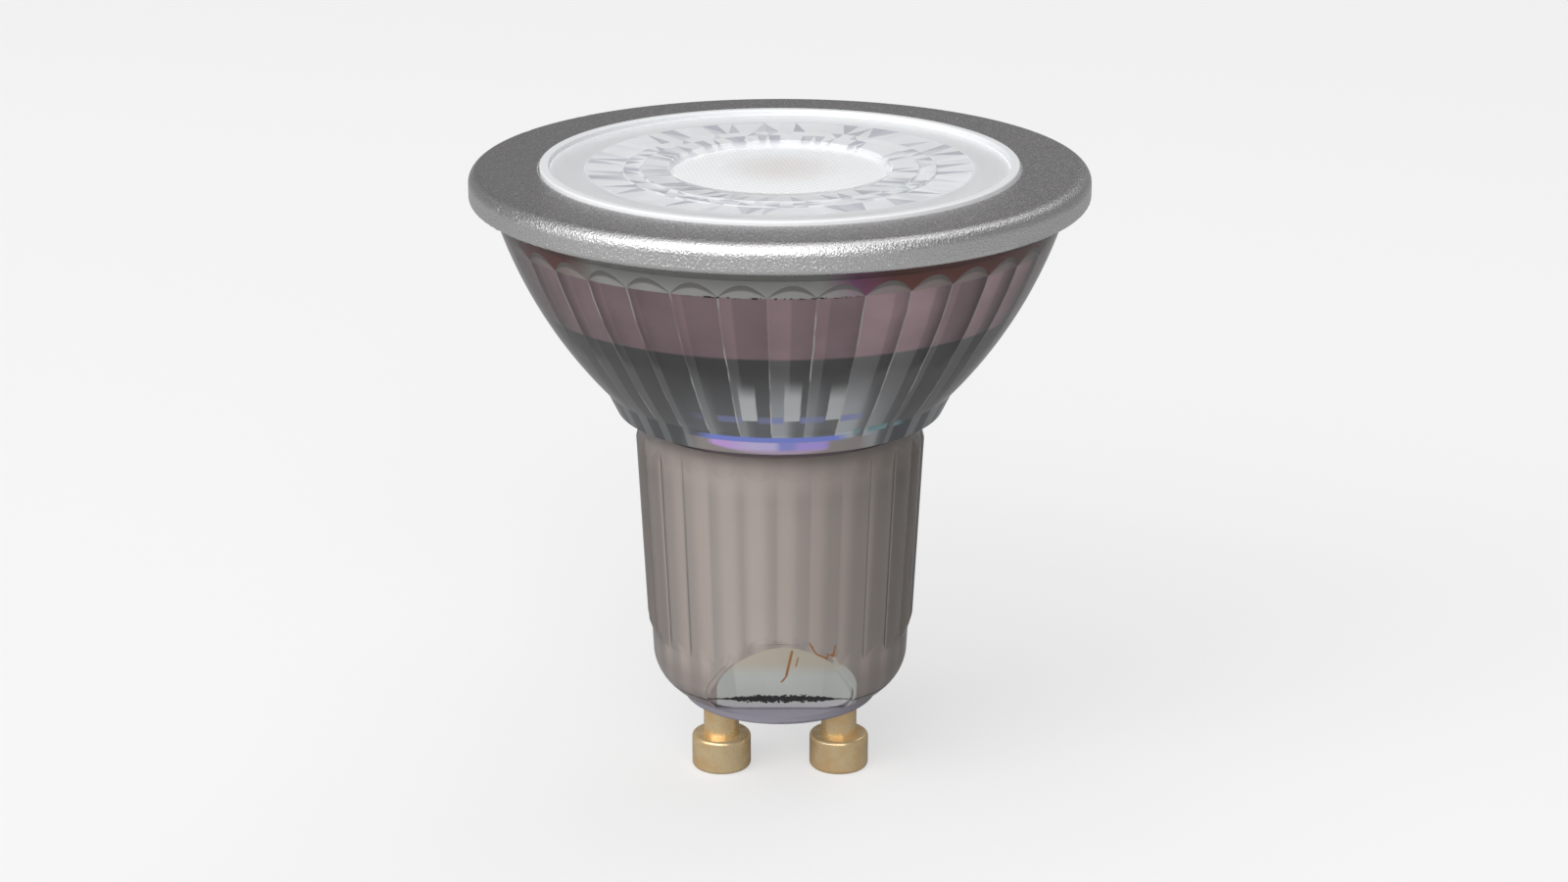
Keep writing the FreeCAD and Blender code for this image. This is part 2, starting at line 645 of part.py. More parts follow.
def base_sealant():
    """A plug of sealant in the base, round the inner ends of the pins and between the slanted flats."""
    low = bore_radius(FLOOR_Z) - FILL_GAP
    high = bore_radius(SEALANT_TOP_Z) - FILL_GAP
    plug = Outline().to(0, FLOOR_Z).to(low, FLOOR_Z, floor_fillet()).to(high, SEALANT_TOP_Z)
    body = plug.to(0, SEALANT_TOP_Z).turned().cut(inner_facets(FACET_WALL + FILL_GAP))
    collar_top = FLOOR_Z + PIN_COLLAR_THICKNESS + FILL_GAP
    crimp_top = pin_top() + FILL_GAP
    for x in pin_places().values():
        body = body.cut(cylinder(PIN_COLLAR_DIAMETER + 2 * FILL_GAP, BASE_Z, collar_top, x))
        body = body.cut(cylinder(PIN_CRIMP_DIAMETER + 2 * FILL_GAP, BASE_Z, crimp_top, x))
        body = body.cut(cylinder(PIN_LEAD_DIAMETER + 2 * FILL_GAP, BASE_Z, SEALANT_TOP_Z + CUT_OVERRUN, x))
    return body


def pin_top():
    return FLOOR_Z + PIN_COLLAR_THICKNESS + PIN_CRIMP_LENGTH


def contact_pin(x):
    """A turned pin: a head that locks in the holder, a stem through the glass, and a crimp for its lead."""
    head = PIN_HEAD_DIAMETER / 2
    stem = PIN_STEM_DIAMETER / 2
    collar = PIN_COLLAR_DIAMETER / 2
    crimp = PIN_CRIMP_DIAMETER / 2
    bore = PIN_LEAD_RADIUS + FILL_GAP
    collar_top = FLOOR_Z + PIN_COLLAR_THICKNESS
    turned = Outline().to(0, 0).to(head, 0, PIN_HEAD_EDGE).to(head, PIN_HEAD_HEIGHT, PIN_HEAD_EDGE)
    turned.to(stem, PIN_HEAD_HEIGHT).to(stem, FLOOR_Z).to(collar, FLOOR_Z).to(collar, collar_top)
    turned.to(crimp, collar_top).to(crimp, pin_top()).to(bore, pin_top())
    turned.to(bore, pin_top() - PIN_CRIMP_BORE_DEPTH).to(0, pin_top() - PIN_CRIMP_BORE_DEPTH)
    pin = turned.turned()
    pin.translate(Vector(x, 0, 0))
    return pin


def pin_lead(x):
    return cylinder(PIN_LEAD_DIAMETER, pin_top() - PIN_CRIMP_BORE_DEPTH, PIN_LEAD_TOP_Z, x)


def beside_centre(width, side):
    """The middle of a component that stands just left (-1) or right (1) of the board's centre line."""
    return side * (width + COMPONENT_GAP) / 2


def electrolytic_capacitor():
    radius = CAPACITOR_DIAMETER / 2
    waist = radius - CAPACITOR_GROOVE_DEPTH
    high = CAPACITOR_LENGTH
    groove_low = CAPACITOR_GROOVE_HEIGHT - CAPACITOR_GROOVE_DEPTH
    groove_high = CAPACITOR_GROOVE_HEIGHT + CAPACITOR_GROOVE_DEPTH
    can = Outline().to(0, 0).to(radius, 0, CAPACITOR_EDGE).to(radius, groove_low)
    can.to(waist, CAPACITOR_GROOVE_HEIGHT).to(radius, groove_high).to(radius, high, CAPACITOR_EDGE)
    body = can.to(0, high).turned()
    x = beside_centre(CAPACITOR_DIAMETER, -1)
    body.translate(Vector(x, BOARD_FRONT_Y - SOLDER_GAP - radius, PART_BOTTOM_Z))
    return body


def inductor_z():
    return PART_BOTTOM_Z + FUSE_DIAMETER + COMPONENT_GAP + INDUCTOR_DIAMETER / 2


def seated_inductor_piece(body):
    """Lays a piece that was turned about Z on the front of the board, with its foot to the board."""
    body.rotate(Vector(), Vector(1, 0, 0), 90)
    body.translate(Vector(beside_centre(INDUCTOR_DIAMETER, 1), BOARD_FRONT_Y - SOLDER_GAP, inductor_z()))
    return body


def inductor_core():
    flange = INDUCTOR_DIAMETER / 2
    core = INDUCTOR_CORE_DIAMETER / 2
    upper = INDUCTOR_HEIGHT - INDUCTOR_FLANGE
    drum = Outline().to(0, 0).to(flange, 0).to(flange, INDUCTOR_FLANGE).to(core, INDUCTOR_FLANGE)
    drum.to(core, upper).to(flange, upper).to(flange, INDUCTOR_HEIGHT).to(0, INDUCTOR_HEIGHT)
    return seated_inductor_piece(drum.turned())


def inductor_winding():
    inside = INDUCTOR_CORE_DIAMETER / 2 + FILL_GAP
    outside = INDUCTOR_WINDING_DIAMETER / 2
    low = INDUCTOR_FLANGE + FILL_GAP
    high = INDUCTOR_HEIGHT - INDUCTOR_FLANGE - FILL_GAP
    coil = Outline().to(inside, low).to(outside, low).to(outside, high).to(inside, high)
    return seated_inductor_piece(coil.turned())


def fuse_resistor():
    """A waisted ceramic body between two end caps, lying across the board."""
    end = FUSE_DIAMETER / 2
    waist = FUSE_WAIST_DIAMETER / 2
    far = FUSE_LENGTH - FUSE_CAP_LENGTH
    body = Outline().to(0, 0).to(end, 0).to(end, FUSE_CAP_LENGTH).to(waist, FUSE_CAP_LENGTH)
    body = body.to(waist, far).to(end, far).to(end, FUSE_LENGTH).to(0, FUSE_LENGTH).turned()
    body.rotate(Vector(), Vector(0, 1, 0), 90)
    left = beside_centre(FUSE_LENGTH, 1) - FUSE_LENGTH / 2
    body.translate(Vector(left, BOARD_FRONT_Y - SOLDER_GAP - end, PART_BOTTOM_Z + end))
    return body


def film_capacitor():
    x = beside_centre(FILM_WIDTH, -1)
    box = block(FILM_WIDTH, FILM_DEPTH, FILM_HEIGHT, x, BOARD_BACK_Y, BACK_BOTTOM_Z)
    far_y = BOARD_BACK_Y + FILM_DEPTH
    far_edges = [edge for edge in box.Edges if edge.BoundBox.YMin > far_y - FILM_EDGE]
    return box.makeFillet(FILM_EDGE, far_edges)


def leaded_package(width, depth, height, legs, x, z):
    """A moulded block on the back of the board with a row of flat legs down each side."""
    body = block(width, depth, height, x, BOARD_BACK_Y, z)
    far_y = BOARD_BACK_Y + depth
    far_edges = [edge for edge in body.Edges if edge.BoundBox.YMin > far_y - PACKAGE_EDGE]
    body = body.makeChamfer(PACKAGE_EDGE, far_edges)
    pitch = height / legs
    for index in range(legs):
        low = z + (index + 0.5) * pitch - LEG_WIDTH / 2
        body = body.fuse(block(width + 2 * LEG_REACH, LEG_THICKNESS, LEG_WIDTH, x, BOARD_BACK_Y, low))
    return body


def bridge_rectifier():
    x = beside_centre(BRIDGE_WIDTH + 2 * LEG_REACH, 1)
    return leaded_package(BRIDGE_WIDTH, BRIDGE_DEPTH, BRIDGE_HEIGHT, BRIDGE_LEGS, x, BACK_BOTTOM_Z)


def driver_chip():
    x = beside_centre(CHIP_WIDTH + 2 * LEG_REACH, 1)
    low = BACK_BOTTOM_Z + BRIDGE_HEIGHT + COMPONENT_GAP
    return leaded_package(CHIP_WIDTH, CHIP_DEPTH, CHIP_HEIGHT, CHIP_LEGS, x, low)


def chip_resistors():
    """A row of small surface resistors above the film capacitor."""
    pitch = RESISTOR_WIDTH + COMPONENT_GAP
    low = BACK_BOTTOM_Z + FILM_HEIGHT + COMPONENT_GAP
    first = beside_centre(RESISTOR_WIDTH, -1)
    row = []
    for index in range(RESISTOR_COUNT):
        x = first - index * pitch
        row.append(block(RESISTOR_WIDTH, RESISTOR_DEPTH, RESISTOR_HEIGHT, x, BOARD_BACK_Y, low))
    return Part.makeCompound(row)


def all_pieces():
    pieces = {
        "glass_envelope": glass_envelope(),
        "front_bezel": front_bezel(),
        "lens": lens(),
        "rim_sealant": rim_sealant(),
        "heat_sink_liner": heat_sink_liner(),
        "thermal_pad": thermal_pad(),
        "led_board": led_board(),
        "led_carrier": led_carrier(),
        "led_phosphor": led_phosphor(),
        "driver_housing": driver_housing(),
        "driver_filler": driver_filler(),
        "base_sealant": base_sealant(),
        "driver_board": driver_board(),
        "electrolytic_capacitor": electrolytic_capacitor(),
        "inductor_core": inductor_core(),
        "inductor_winding": inductor_winding(),
        "fuse_resistor": fuse_resistor(),
        "film_capacitor": film_capacitor(),
        "bridge_rectifier": bridge_rectifier(),
        "driver_chip": driver_chip(),
        "chip_resistors": chip_resistors(),
    }
    for side, x in pin_places().items():
        pieces["contact_pin_" + side] = contact_pin(x)
        pieces["pin_lead_" + side] = pin_lead(x)
    for side, x in led_lead_places().items():
        pieces["led_lead_" + side] = led_lead(x)
    return pieces


os.makedirs("parts", exist_ok=True)
for name, shape in all_pieces().items():
    shape.exportStep("parts/" + name + ".step")
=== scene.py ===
import bpy
import math
import random
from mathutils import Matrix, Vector


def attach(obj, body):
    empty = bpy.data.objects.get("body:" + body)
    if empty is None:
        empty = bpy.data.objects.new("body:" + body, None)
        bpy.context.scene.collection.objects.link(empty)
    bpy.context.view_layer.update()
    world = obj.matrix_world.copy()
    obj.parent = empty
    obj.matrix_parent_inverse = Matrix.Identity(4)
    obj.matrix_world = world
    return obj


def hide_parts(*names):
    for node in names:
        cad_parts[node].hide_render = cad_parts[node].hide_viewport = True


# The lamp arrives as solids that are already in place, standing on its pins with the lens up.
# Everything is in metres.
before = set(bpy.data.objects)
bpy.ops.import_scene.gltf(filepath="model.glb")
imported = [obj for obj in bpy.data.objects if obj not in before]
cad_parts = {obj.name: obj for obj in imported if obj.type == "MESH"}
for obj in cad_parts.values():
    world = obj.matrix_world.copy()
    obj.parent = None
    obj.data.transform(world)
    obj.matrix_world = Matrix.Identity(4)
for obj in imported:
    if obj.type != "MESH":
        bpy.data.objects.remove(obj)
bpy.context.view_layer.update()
bpy.ops.object.select_all(action="DESELECT")
MM = 0.001


# The two contact pins are turned from brass bar, pushed through the glass and crimped on their leads.
# The lathe leaves fine rings, and handling leaves them a little dull, with darker and paler patches.
PIN_GOLD = (0.97, 0.77, 0.46, 1)
PIN_SHADE = (0.88, 0.62, 0.32, 1)
PIN_METALLIC = 0.65
PIN_ROUGHNESS = (0.24, 0.40)
PIN_PATCHES = (700, 700, 700)
TURNING_MARKS = (160, 160, 6000)
TURNING_STRENGTH = 0.25
TURNING_DEPTH = 0.01 * MM


def new_finish(name, *pieces):
    """A node material on solids, given by name, and on new pieces. Gives back its tree and main shader."""
    material = bpy.data.materials.new(name)
    material.use_nodes = True
    for piece in pieces:
        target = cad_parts.get(piece) if isinstance(piece, str) else piece
        if not target.material_slots:
            target.data.materials.append(material)
        target.material_slots[0].material = material
    return material.node_tree, material.node_tree.nodes["Principled BSDF"]


def add_node(tree, kind, inputs=None, **options):
    """Adds a shader node, sets its options, and fills or links its input sockets."""
    node = tree.nodes.new("ShaderNode" + kind)
    for option, value in options.items():
        setattr(node, option, value)
    fill_sockets(tree, node, inputs or {})
    return node


def fill_sockets(tree, node, inputs):
    """Links a socket where the value comes from another node, and sets it where it is a plain value."""
    for socket, value in inputs.items():
        if isinstance(value, bpy.types.NodeSocket):
            tree.links.new(value, node.inputs[socket])
        else:
            node.inputs[socket].default_value = value


def cloud(tree, cells, detail=3.0, roughness=0.5):
    """Noise between 0 and 1, with so many cells to the metre in each direction."""
    where = add_node(tree, "TexCoord").outputs["Object"]
    scaled = add_node(tree, "VectorMath", {0: where, 1: cells}, operation="MULTIPLY").outputs[0]
    sizes = {"Vector": scaled, "Scale": 1.0, "Detail": detail, "Roughness": roughness}
    return add_node(tree, "TexNoise", sizes).outputs["Fac"]


def span(tree, value, low, high, to_low=0.0, to_high=1.0):
    """A smooth change from one number to another while a value goes from low to high."""
    inputs = {"Value": value, "From Min": low, "From Max": high, "To Min": to_low, "To Max": to_high}
    return add_node(tree, "MapRange", inputs, interpolation_type="SMOOTHSTEP").outputs["Result"]


def blend(tree, amount, first, second):
    """A colour between two colours."""
    mix = add_node(tree, "Mix", data_type="RGBA")
    fill_sockets(tree, mix, {0: amount, 6: first, 7: second})
    return mix.outputs[2]


def bumps(tree, height, strength, depth):
    """A surface normal for relief of that depth in metres."""
    inputs = {"Height": height, "Strength": strength, "Distance": depth}
    return add_node(tree, "Bump", inputs).outputs["Normal"]


tree, shader = new_finish("turned_brass", "contact_pin_left", "contact_pin_right")
rings = cloud(tree, TURNING_MARKS, detail=1.0)
patches = cloud(tree, PIN_PATCHES)
fill_sockets(tree, shader, {
    "Base Color": blend(tree, span(tree, patches, 0.35, 0.7), PIN_GOLD, PIN_SHADE),
    "Metallic": PIN_METALLIC,
    "Roughness": span(tree, patches, 0.3, 0.75, *PIN_ROUGHNESS),
    "Normal": bumps(tree, rings, TURNING_STRENGTH, TURNING_DEPTH),
})


# The leads are stranded copper in a thin coat, crimped in the pins and soldered to the driver board.
# They are shut in with the driver, and only their colour tells which is which.
LEAD_COATS = (
    ("brown_coat", "pin_lead_left", (0.16, 0.07, 0.03, 1), (0.11, 0.05, 0.02, 1)),
    ("blue_coat", "pin_lead_right", (0.03, 0.10, 0.35, 1), (0.02, 0.07, 0.25, 1)),
)
MOTTLE = (1500, 1500, 1500)
COAT_ROUGHNESS = (0.42, 0.6)
MOTTLE_STRENGTH = 0.15
MOTTLE_DEPTH = 0.05 * MM


def coat(finishes):
    """Small moulded or coated pieces: each row is a finish, its piece, its colour and its darker colour."""
    for name, node_name, colour, shade in finishes:
        tree, shader = new_finish(name, node_name)
        mottle = cloud(tree, MOTTLE, detail=4.0)
        fill_sockets(tree, shader, {
            "Base Color": blend(tree, span(tree, mottle, 0.3, 0.7), colour, shade),
            "Roughness": span(tree, mottle, 0.3, 0.7, *COAT_ROUGHNESS),
            "Normal": bumps(tree, mottle, MOTTLE_STRENGTH, MOTTLE_DEPTH),
        })


coat(LEAD_COATS)


# The envelope is one piece of pressed glass: base, ribbed neck, and a cup with flutes on its inside.
# It is clear, with a grey-brown tint that shows where one looks along the wall, and smudged by handling.
# Its foot, round the pins, is ground dull. Seen edge-on above the base, the glass is darkened by painted
# shade.
GLASS_TINT = (0.60, 0.575, 0.555, 1)
GLASS_DENSITY = 260.0
GLASS_REFRACTION = 1.5
GLASS_CLEAR = (0.97, 0.965, 0.96, 1)
GLASS_EDGE_SHADE = (0.16, 0.155, 0.15, 1)
EDGE_FACING = (0.5, 0.85)
EDGE_HEIGHTS = (11.5 * MM, 13.5 * MM)
FOOT_GREY = (0.42, 0.40, 0.47, 1)
FOOT_HEIGHTS = (8.66 * MM, 8.6 * MM)
FOOT_CLEARNESS = 0.35
FOOT_ROUGHNESS = 0.55
SMUDGES = (260, 260, 180)
SMUDGE_ROUGHNESS = 0.10
PRESS_WAVES = (220, 220, 90)
WAVE_STRENGTH = 0.08
WAVE_DEPTH = 0.4 * MM


def axes(tree):
    """Object coordinates in metres, one socket each."""
    return add_node(tree, "SeparateXYZ", {0: add_node(tree, "TexCoord").outputs["Object"]}).outputs


def maths(tree, operation, *values):
    """One sum on numbers or sockets, in the order in which the node takes them."""
    return add_node(tree, "Math", dict(enumerate(values)), operation=operation).outputs[0]


def product(tree, first, *others):
    """What several shares come to when all of them have to hold."""
    for other in others:
        first = maths(tree, "MULTIPLY", first, other)
    return first


tree, shader = new_finish("pressed_glass", "glass_envelope")
height = axes(tree)["Z"]
smudges = cloud(tree, SMUDGES, detail=5.0, roughness=0.6)
waves = cloud(tree, PRESS_WAVES, detail=1.0)
ground_foot = span(tree, height, *FOOT_HEIGHTS)
facing = add_node(tree, "LayerWeight", {"Blend": 0.5}).outputs["Facing"]
# Painted shade: the glass is darkened where it is seen edge-on, above the base.
edge_shade = product(tree, span(tree, facing, *EDGE_FACING), span(tree, height, *EDGE_HEIGHTS))
smeared = span(tree, smudges, 0.45, 0.8, 0.0, SMUDGE_ROUGHNESS)
fill_sockets(tree, shader, {
    "Base Color": blend(tree, ground_foot, blend(tree, edge_shade, GLASS_CLEAR, GLASS_EDGE_SHADE), FOOT_GREY),
    "Transmission Weight": span(tree, ground_foot, 0, 1, 1.0, FOOT_CLEARNESS),
    "IOR": GLASS_REFRACTION,
    "Roughness": maths(tree, "MULTIPLY_ADD", ground_foot, FOOT_ROUGHNESS, smeared),
    "Normal": bumps(tree, waves, WAVE_STRENGTH, WAVE_DEPTH),
})
absorption = add_node(tree, "VolumeAbsorption", {"Color": GLASS_TINT, "Density": GLASS_DENSITY})
tree.links.new(absorption.outputs["Volume"], tree.nodes["Material Output"].inputs["Volume"])
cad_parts["glass_envelope"].visible_shadow = False


# Sealant poured into the base sets as a plug round the inner ends of the pins, and wets the glass.
# Against the flats it shows as a pale dome, milky at the top and slightly green below, over a white strip.
# Soot from the pressing lies along the dome's foot, and flux has run down it in orange streaks.
SEALANT_PALE = (0.86, 0.91, 0.89, 1)
SEALANT_MILKY = (0.80, 0.74, 0.62, 1)
SEALANT_WHITE = (0.93, 0.93, 0.97, 1)
SEALANT_SWELL = 0.07 * MM
SEALANT_ROUGHNESS = 0.5
MILKY_HEIGHTS = (11.7 * MM, 13.6 * MM)
WHITE_HEIGHTS = (9.25 * MM, 8.95 * MM)
CURDLE = (500, 500, 900)
CURDLE_STRENGTH = 0.2
CURDLE_DEPTH = 0.1 * MM
DOME_MIDDLE = 0.35 * MM
DOME_HALF_WIDTH = 5.55 * MM
DOME_LOW = 10.6 * MM
DOME_RISE = 4.35 * MM
DOME_POWER = 1.65
DOME_EDGE = (1.02, 0.98)
FRONT_DEPTH = 1 * MM
SOOT_BLACK = (0.02, 0.02, 0.022, 1)
SOOT_HEIGHT = 9.4 * MM
SOOT_SIDES = (5.3 * MM, 2 * MM)
SOOT_REACH = (0.05 * MM, 0.4 * MM)
SOOT_EDGE = (0.04 * MM, -0.02 * MM)
SOOT_RAGS = (2600, 2600, 2600)
FLUX_ORANGE = (0.55, 0.22, 0.05, 1)
FLUX_STREAKS = (
    ((1.0 * MM, 14.6 * MM), (0.5 * MM, 11.8 * MM), 0.16 * MM),
    ((0.5 * MM, 11.8 * MM), (0.1 * MM, 11.2 * MM), 0.12 * MM),
    ((1.5 * MM, 13.9 * MM), (1.3 * MM, 12.9 * MM), 0.08 * MM),
    ((2.4 * MM, 15.2 * MM), (3.0 * MM, 14.2 * MM), 0.10 * MM),
    ((3.0 * MM, 14.2 * MM), (3.9 * MM, 13.7 * MM), 0.13 * MM),
    ((4.0 * MM, 14.6 * MM), (3.8 * MM, 13.6 * MM), 0.10 * MM),
)
NECK_BEIGE = (0.72, 0.635, 0.595, 1)
NECK_STREAK_AND_SHADE = (0.53, 0.48, 0.455, 1)
NECK_STREAKS = (160, 160, 45)
BASE_PAINTED_SHADE = (0.36, 0.31, 0.30, 1)
BASE_SHADE_HEIGHTS = (12.6 * MM, 10.4 * MM)
BASE_SHADE_SHARE = 0.55
RIBS = 26
RIB_TURN = math.radians(5.2 - 90)
MERGE_REACH = 0.001 * MM


def select_only(piece):
    """Makes a piece the only one that operators act on."""
    bpy.ops.object.select_all(action="DESELECT")
    piece.select_set(True)
    bpy.context.view_layer.objects.active = piece


def poured_copy(name, node_name, swell):
    """A solid that was poured against the glass, grown until it wets the wall, with no air between."""
    piece = bpy.data.objects.new(name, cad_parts[node_name].data.copy())
    bpy.context.scene.collection.objects.link(piece)
    select_only(piece)
    bpy.ops.object.mode_set(mode="EDIT")
    bpy.ops.mesh.select_all(action="SELECT")
    bpy.ops.mesh.customdata_custom_splitnormals_clear()
    bpy.ops.mesh.remove_doubles(threshold=MERGE_REACH)
    bpy.ops.transform.shrink_fatten(value=swell, use_even_offset=True)
    bpy.ops.object.mode_set(mode="OBJECT")
    bpy.ops.object.shade_smooth_by_angle(angle=math.radians(30))
    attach(piece, "root")
    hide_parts(node_name)
    return piece


plug = poured_copy("base_plug", "base_sealant", SEALANT_SWELL)


def around(tree, count, turn):
    """A point's place in its share of a ring, -0.5 to 0.5, and a number drawn for that share."""
    where = axes(tree)
    angle = maths(tree, "ARCTAN2", where["Y"], where["X"])
    each = count / (2 * math.pi)
    shares = maths(tree, "MULTIPLY_ADD", angle, each, 0.5 - turn * each)
    drawn = add_node(tree, "TexWhiteNoise", {"W": maths(tree, "FLOOR", shares)}, noise_dimensions="1D")
    return maths(tree, "SUBTRACT", maths(tree, "FRACT", shares), 0.5), drawn.outputs["Value"]


def distance(tree, value, middle):
    """How far a value is from a middle one, to either side."""
    return maths(tree, "ABSOLUTE", maths(tree, "SUBTRACT", value, middle))


def neck_colour(tree):
    """Beige-grey with cloudy streaks, and a painted stripe of light under the flank of each rib, with
    painted shade between.
    """
    streaks = cloud(tree, NECK_STREAKS)
    in_rib = around(tree, RIBS, RIB_TURN)[0]
    # Painted light and shade: lighter under the flank of each rib, darker between.
    painted_rib_light = span(tree, distance(tree, in_rib, -0.12), 0.05, 0.42)
    shade = maths(tree, "MULTIPLY_ADD", painted_rib_light, 0.42, product(tree, streaks, 0.5))
    return blend(tree, span(tree, shade, 0.15, 0.75), NECK_BEIGE, NECK_STREAK_AND_SHADE)


def streak(tree, start, end, width):
    """A mark from one point to another, in breadth and height, that thins out at its ends."""
    where = axes(tree)
    length = math.hypot(end[0] - start[0], end[1] - start[1])
    across = (end[0] - start[0]) / length
    up = (end[1] - start[1]) / length
    from_x = maths(tree, "SUBTRACT", where["X"], start[0])
    from_z = maths(tree, "SUBTRACT", where["Z"], start[1])
    along = maths(tree, "MULTIPLY_ADD", from_x, across, product(tree, from_z, up))
    aside = maths(tree, "MULTIPLY_ADD", from_x, up, product(tree, from_z, -across))
    inside = span(tree, distance(tree, along, length / 2), length / 2 + width, length / 2 - width)
    return product(tree, inside, span(tree, maths(tree, "ABSOLUTE", aside), width, width * 0.3))


tree, shader = new_finish("pale_sealant", plug)
where = axes(tree)
curdle = cloud(tree, CURDLE, detail=4.0)

# The dome is a rounded arch, and beside it the plug looks like the neck above.
pale = blend(tree, span(tree, where["Z"], *MILKY_HEIGHTS), SEALANT_PALE, SEALANT_MILKY)
pale = blend(tree, span(tree, where["Z"], *WHITE_HEIGHTS), pale, SEALANT_WHITE)
sideways = distance(tree, where["X"], DOME_MIDDLE)
round_x = maths(tree, "POWER", maths(tree, "DIVIDE", sideways, DOME_HALF_WIDTH), DOME_POWER)
above = maths(tree, "MAXIMUM", maths(tree, "SUBTRACT", where["Z"], DOME_LOW), 0)
round_z = maths(tree, "POWER", maths(tree, "DIVIDE", above, DOME_RISE), DOME_POWER)
dome = span(tree, maths(tree, "ADD", round_x, round_z), *DOME_EDGE)
# Painted shade: towards the foot the neck colour is darkened.
painted_base_shade = span(tree, where["Z"], *BASE_SHADE_HEIGHTS, 0.0, BASE_SHADE_SHARE)
colour = blend(tree, dome, blend(tree, painted_base_shade, neck_colour(tree), BASE_PAINTED_SHADE), pale)

# The flux and the soot are on the front alone.
in_front = span(tree, where["Y"], 0, -FRONT_DEPTH)
for start, end, width in FLUX_STREAKS:
    mark = product(tree, streak(tree, start, end, width), in_front)
    colour = blend(tree, mark, colour, FLUX_ORANGE)
ragged = cloud(tree, SOOT_RAGS, detail=4.0, roughness=0.7)
soot_edge = span(tree, maths(tree, "ABSOLUTE", where["X"]), *SOOT_SIDES, *SOOT_REACH)
soot_reach = product(tree, soot_edge, span(tree, ragged, 0.3, 0.65, 0.35, 1.2))
from_soot = distance(tree, where["Z"], SOOT_HEIGHT)
soot = span(tree, maths(tree, "SUBTRACT", from_soot, soot_reach), *SOOT_EDGE)
fill_sockets(tree, shader, {
    "Base Color": blend(tree, product(tree, soot, in_front), colour, SOOT_BLACK),
    "Roughness": SEALANT_ROUGHNESS,
    "Normal": bumps(tree, curdle, CURDLE_STRENGTH, CURDLE_DEPTH),
})


# The driver sits in a moulded sleeve of beige-grey plastic that lines the neck, its foot set in filler.
# Seen through the ribs, the sleeve gives the neck its colour, with faint cloudy streaks from moulding.
# Towards the cup it is painted paler, as painted light.
SLEEVE_PAINTED_LIGHT = (0.93, 0.83, 0.79, 1)
SLEEVE_PALE_HEIGHTS = (27.2 * MM, 30.6 * MM)
SLEEVE_PALE_SHARE = 0.75
SLEEVE_SWELL = 0.18 * MM
SLEEVE_ROUGHNESS = (0.4, 0.55)
GRIT = (900, 900, 300)
GRIT_STRENGTH = 0.1
GRIT_DEPTH = 0.1 * MM
FILLER_FINISH = (
    ("grey_filler", "driver_filler", (0.30, 0.30, 0.31, 1), (0.22, 0.22, 0.23, 1)),
)

sleeve = poured_copy("neck_sleeve", "driver_housing", SLEEVE_SWELL)
tree, shader = new_finish("housing_plastic", sleeve)
grit = cloud(tree, GRIT)
# Painted light: the colour is lightened towards the cup.
painted_light_near_cup = span(tree, axes(tree)["Z"], *SLEEVE_PALE_HEIGHTS, 0.0, SLEEVE_PALE_SHARE)
fill_sockets(tree, shader, {
    "Base Color": blend(tree, painted_light_near_cup, neck_colour(tree), SLEEVE_PAINTED_LIGHT),
    "Roughness": span(tree, grit, 0.3, 0.7, *SLEEVE_ROUGHNESS),
    "Normal": bumps(tree, grit, GRIT_STRENGTH, GRIT_DEPTH),
})
coat(FILLER_FINISH)


# The driver is a small laminate board with its parts soldered on both faces.
# Each part has the usual finish: a sleeved can, a wound ferrite, a coated fuse and moulded packages.
DRIVER_FINISHES = (
    ("board_laminate", "driver_board", (0.05, 0.22, 0.10, 1), (0.04, 0.16, 0.08, 1)),
    ("capacitor_sleeve", "electrolytic_capacitor", (0.05, 0.06, 0.09, 1), (0.03, 0.04, 0.06, 1)),
    ("ferrite", "inductor_core", (0.06, 0.06, 0.06, 1), (0.09, 0.085, 0.08, 1)),
    ("winding_wire", "inductor_winding", (0.45, 0.18, 0.07, 1), (0.30, 0.11, 0.05, 1)),
    ("fuse_coating", "fuse_resistor", (0.22, 0.32, 0.24, 1), (0.16, 0.25, 0.19, 1)),
    ("film_case", "film_capacitor", (0.50, 0.30, 0.06, 1), (0.40, 0.22, 0.05, 1)),
    ("bridge_package", "bridge_rectifier", (0.03, 0.03, 0.03, 1), (0.05, 0.05, 0.05, 1)),
    ("chip_package", "driver_chip", (0.03, 0.03, 0.03, 1), (0.05, 0.05, 0.05, 1)),
    ("resistor_glaze", "chip_resistors", (0.04, 0.04, 0.05, 1), (0.30, 0.29, 0.28, 1)),
)

coat(DRIVER_FINISHES)


# The glass cup is mirrored inside with a thin film, which follows every flute and arch of the wall.
# Its colours are painted reflections: mauve in the upper half, slate below, and violet at its foot.
# Where a mark is painted on it, it is made less metallic, so that the mark shows in its own colour.
FLUTES = 36
FLUTE_TURN = math.radians(2.5 - 90)
CREST_DEPTH = 1.55 * MM
SCALLOP = 0.15 * MM
FILM_LOW = 32.5 * MM
FILM_HIGH = 49.2 * MM
FILM_SINK = 0.16 * MM
FILM_THICKNESS = 0.04 * MM
FLUTE_COLUMNS = 10
FILM_ROWS = 60
FILM_CROWDING = 1.7
FILM_CREASE = math.radians(12)
ARCH_LOW = 47.7 * MM
ARCH_HIGH = 48.8 * MM
CUP_FOOT = Vector((11.7 * MM, 31.8 * MM))
CUP_RIM = Vector((23.2 * MM, 50.0 * MM))
CUP_BULGE = 1.55 * MM


def cup_radius(height, depth):
    """How far from the axis the cup's wall is, at a depth below its round outside."""
    chord = CUP_RIM - CUP_FOOT
    bend = ((chord.length / 2) ** 2 + CUP_BULGE ** 2) / (2 * CUP_BULGE)
    outwards = Vector((chord.y, -chord.x)).normalized()
    centre = (CUP_FOOT + CUP_RIM) / 2 - outwards * (bend - CUP_BULGE)
    return centre.x + math.sqrt((bend - depth) ** 2 - (height - centre.y) ** 2)


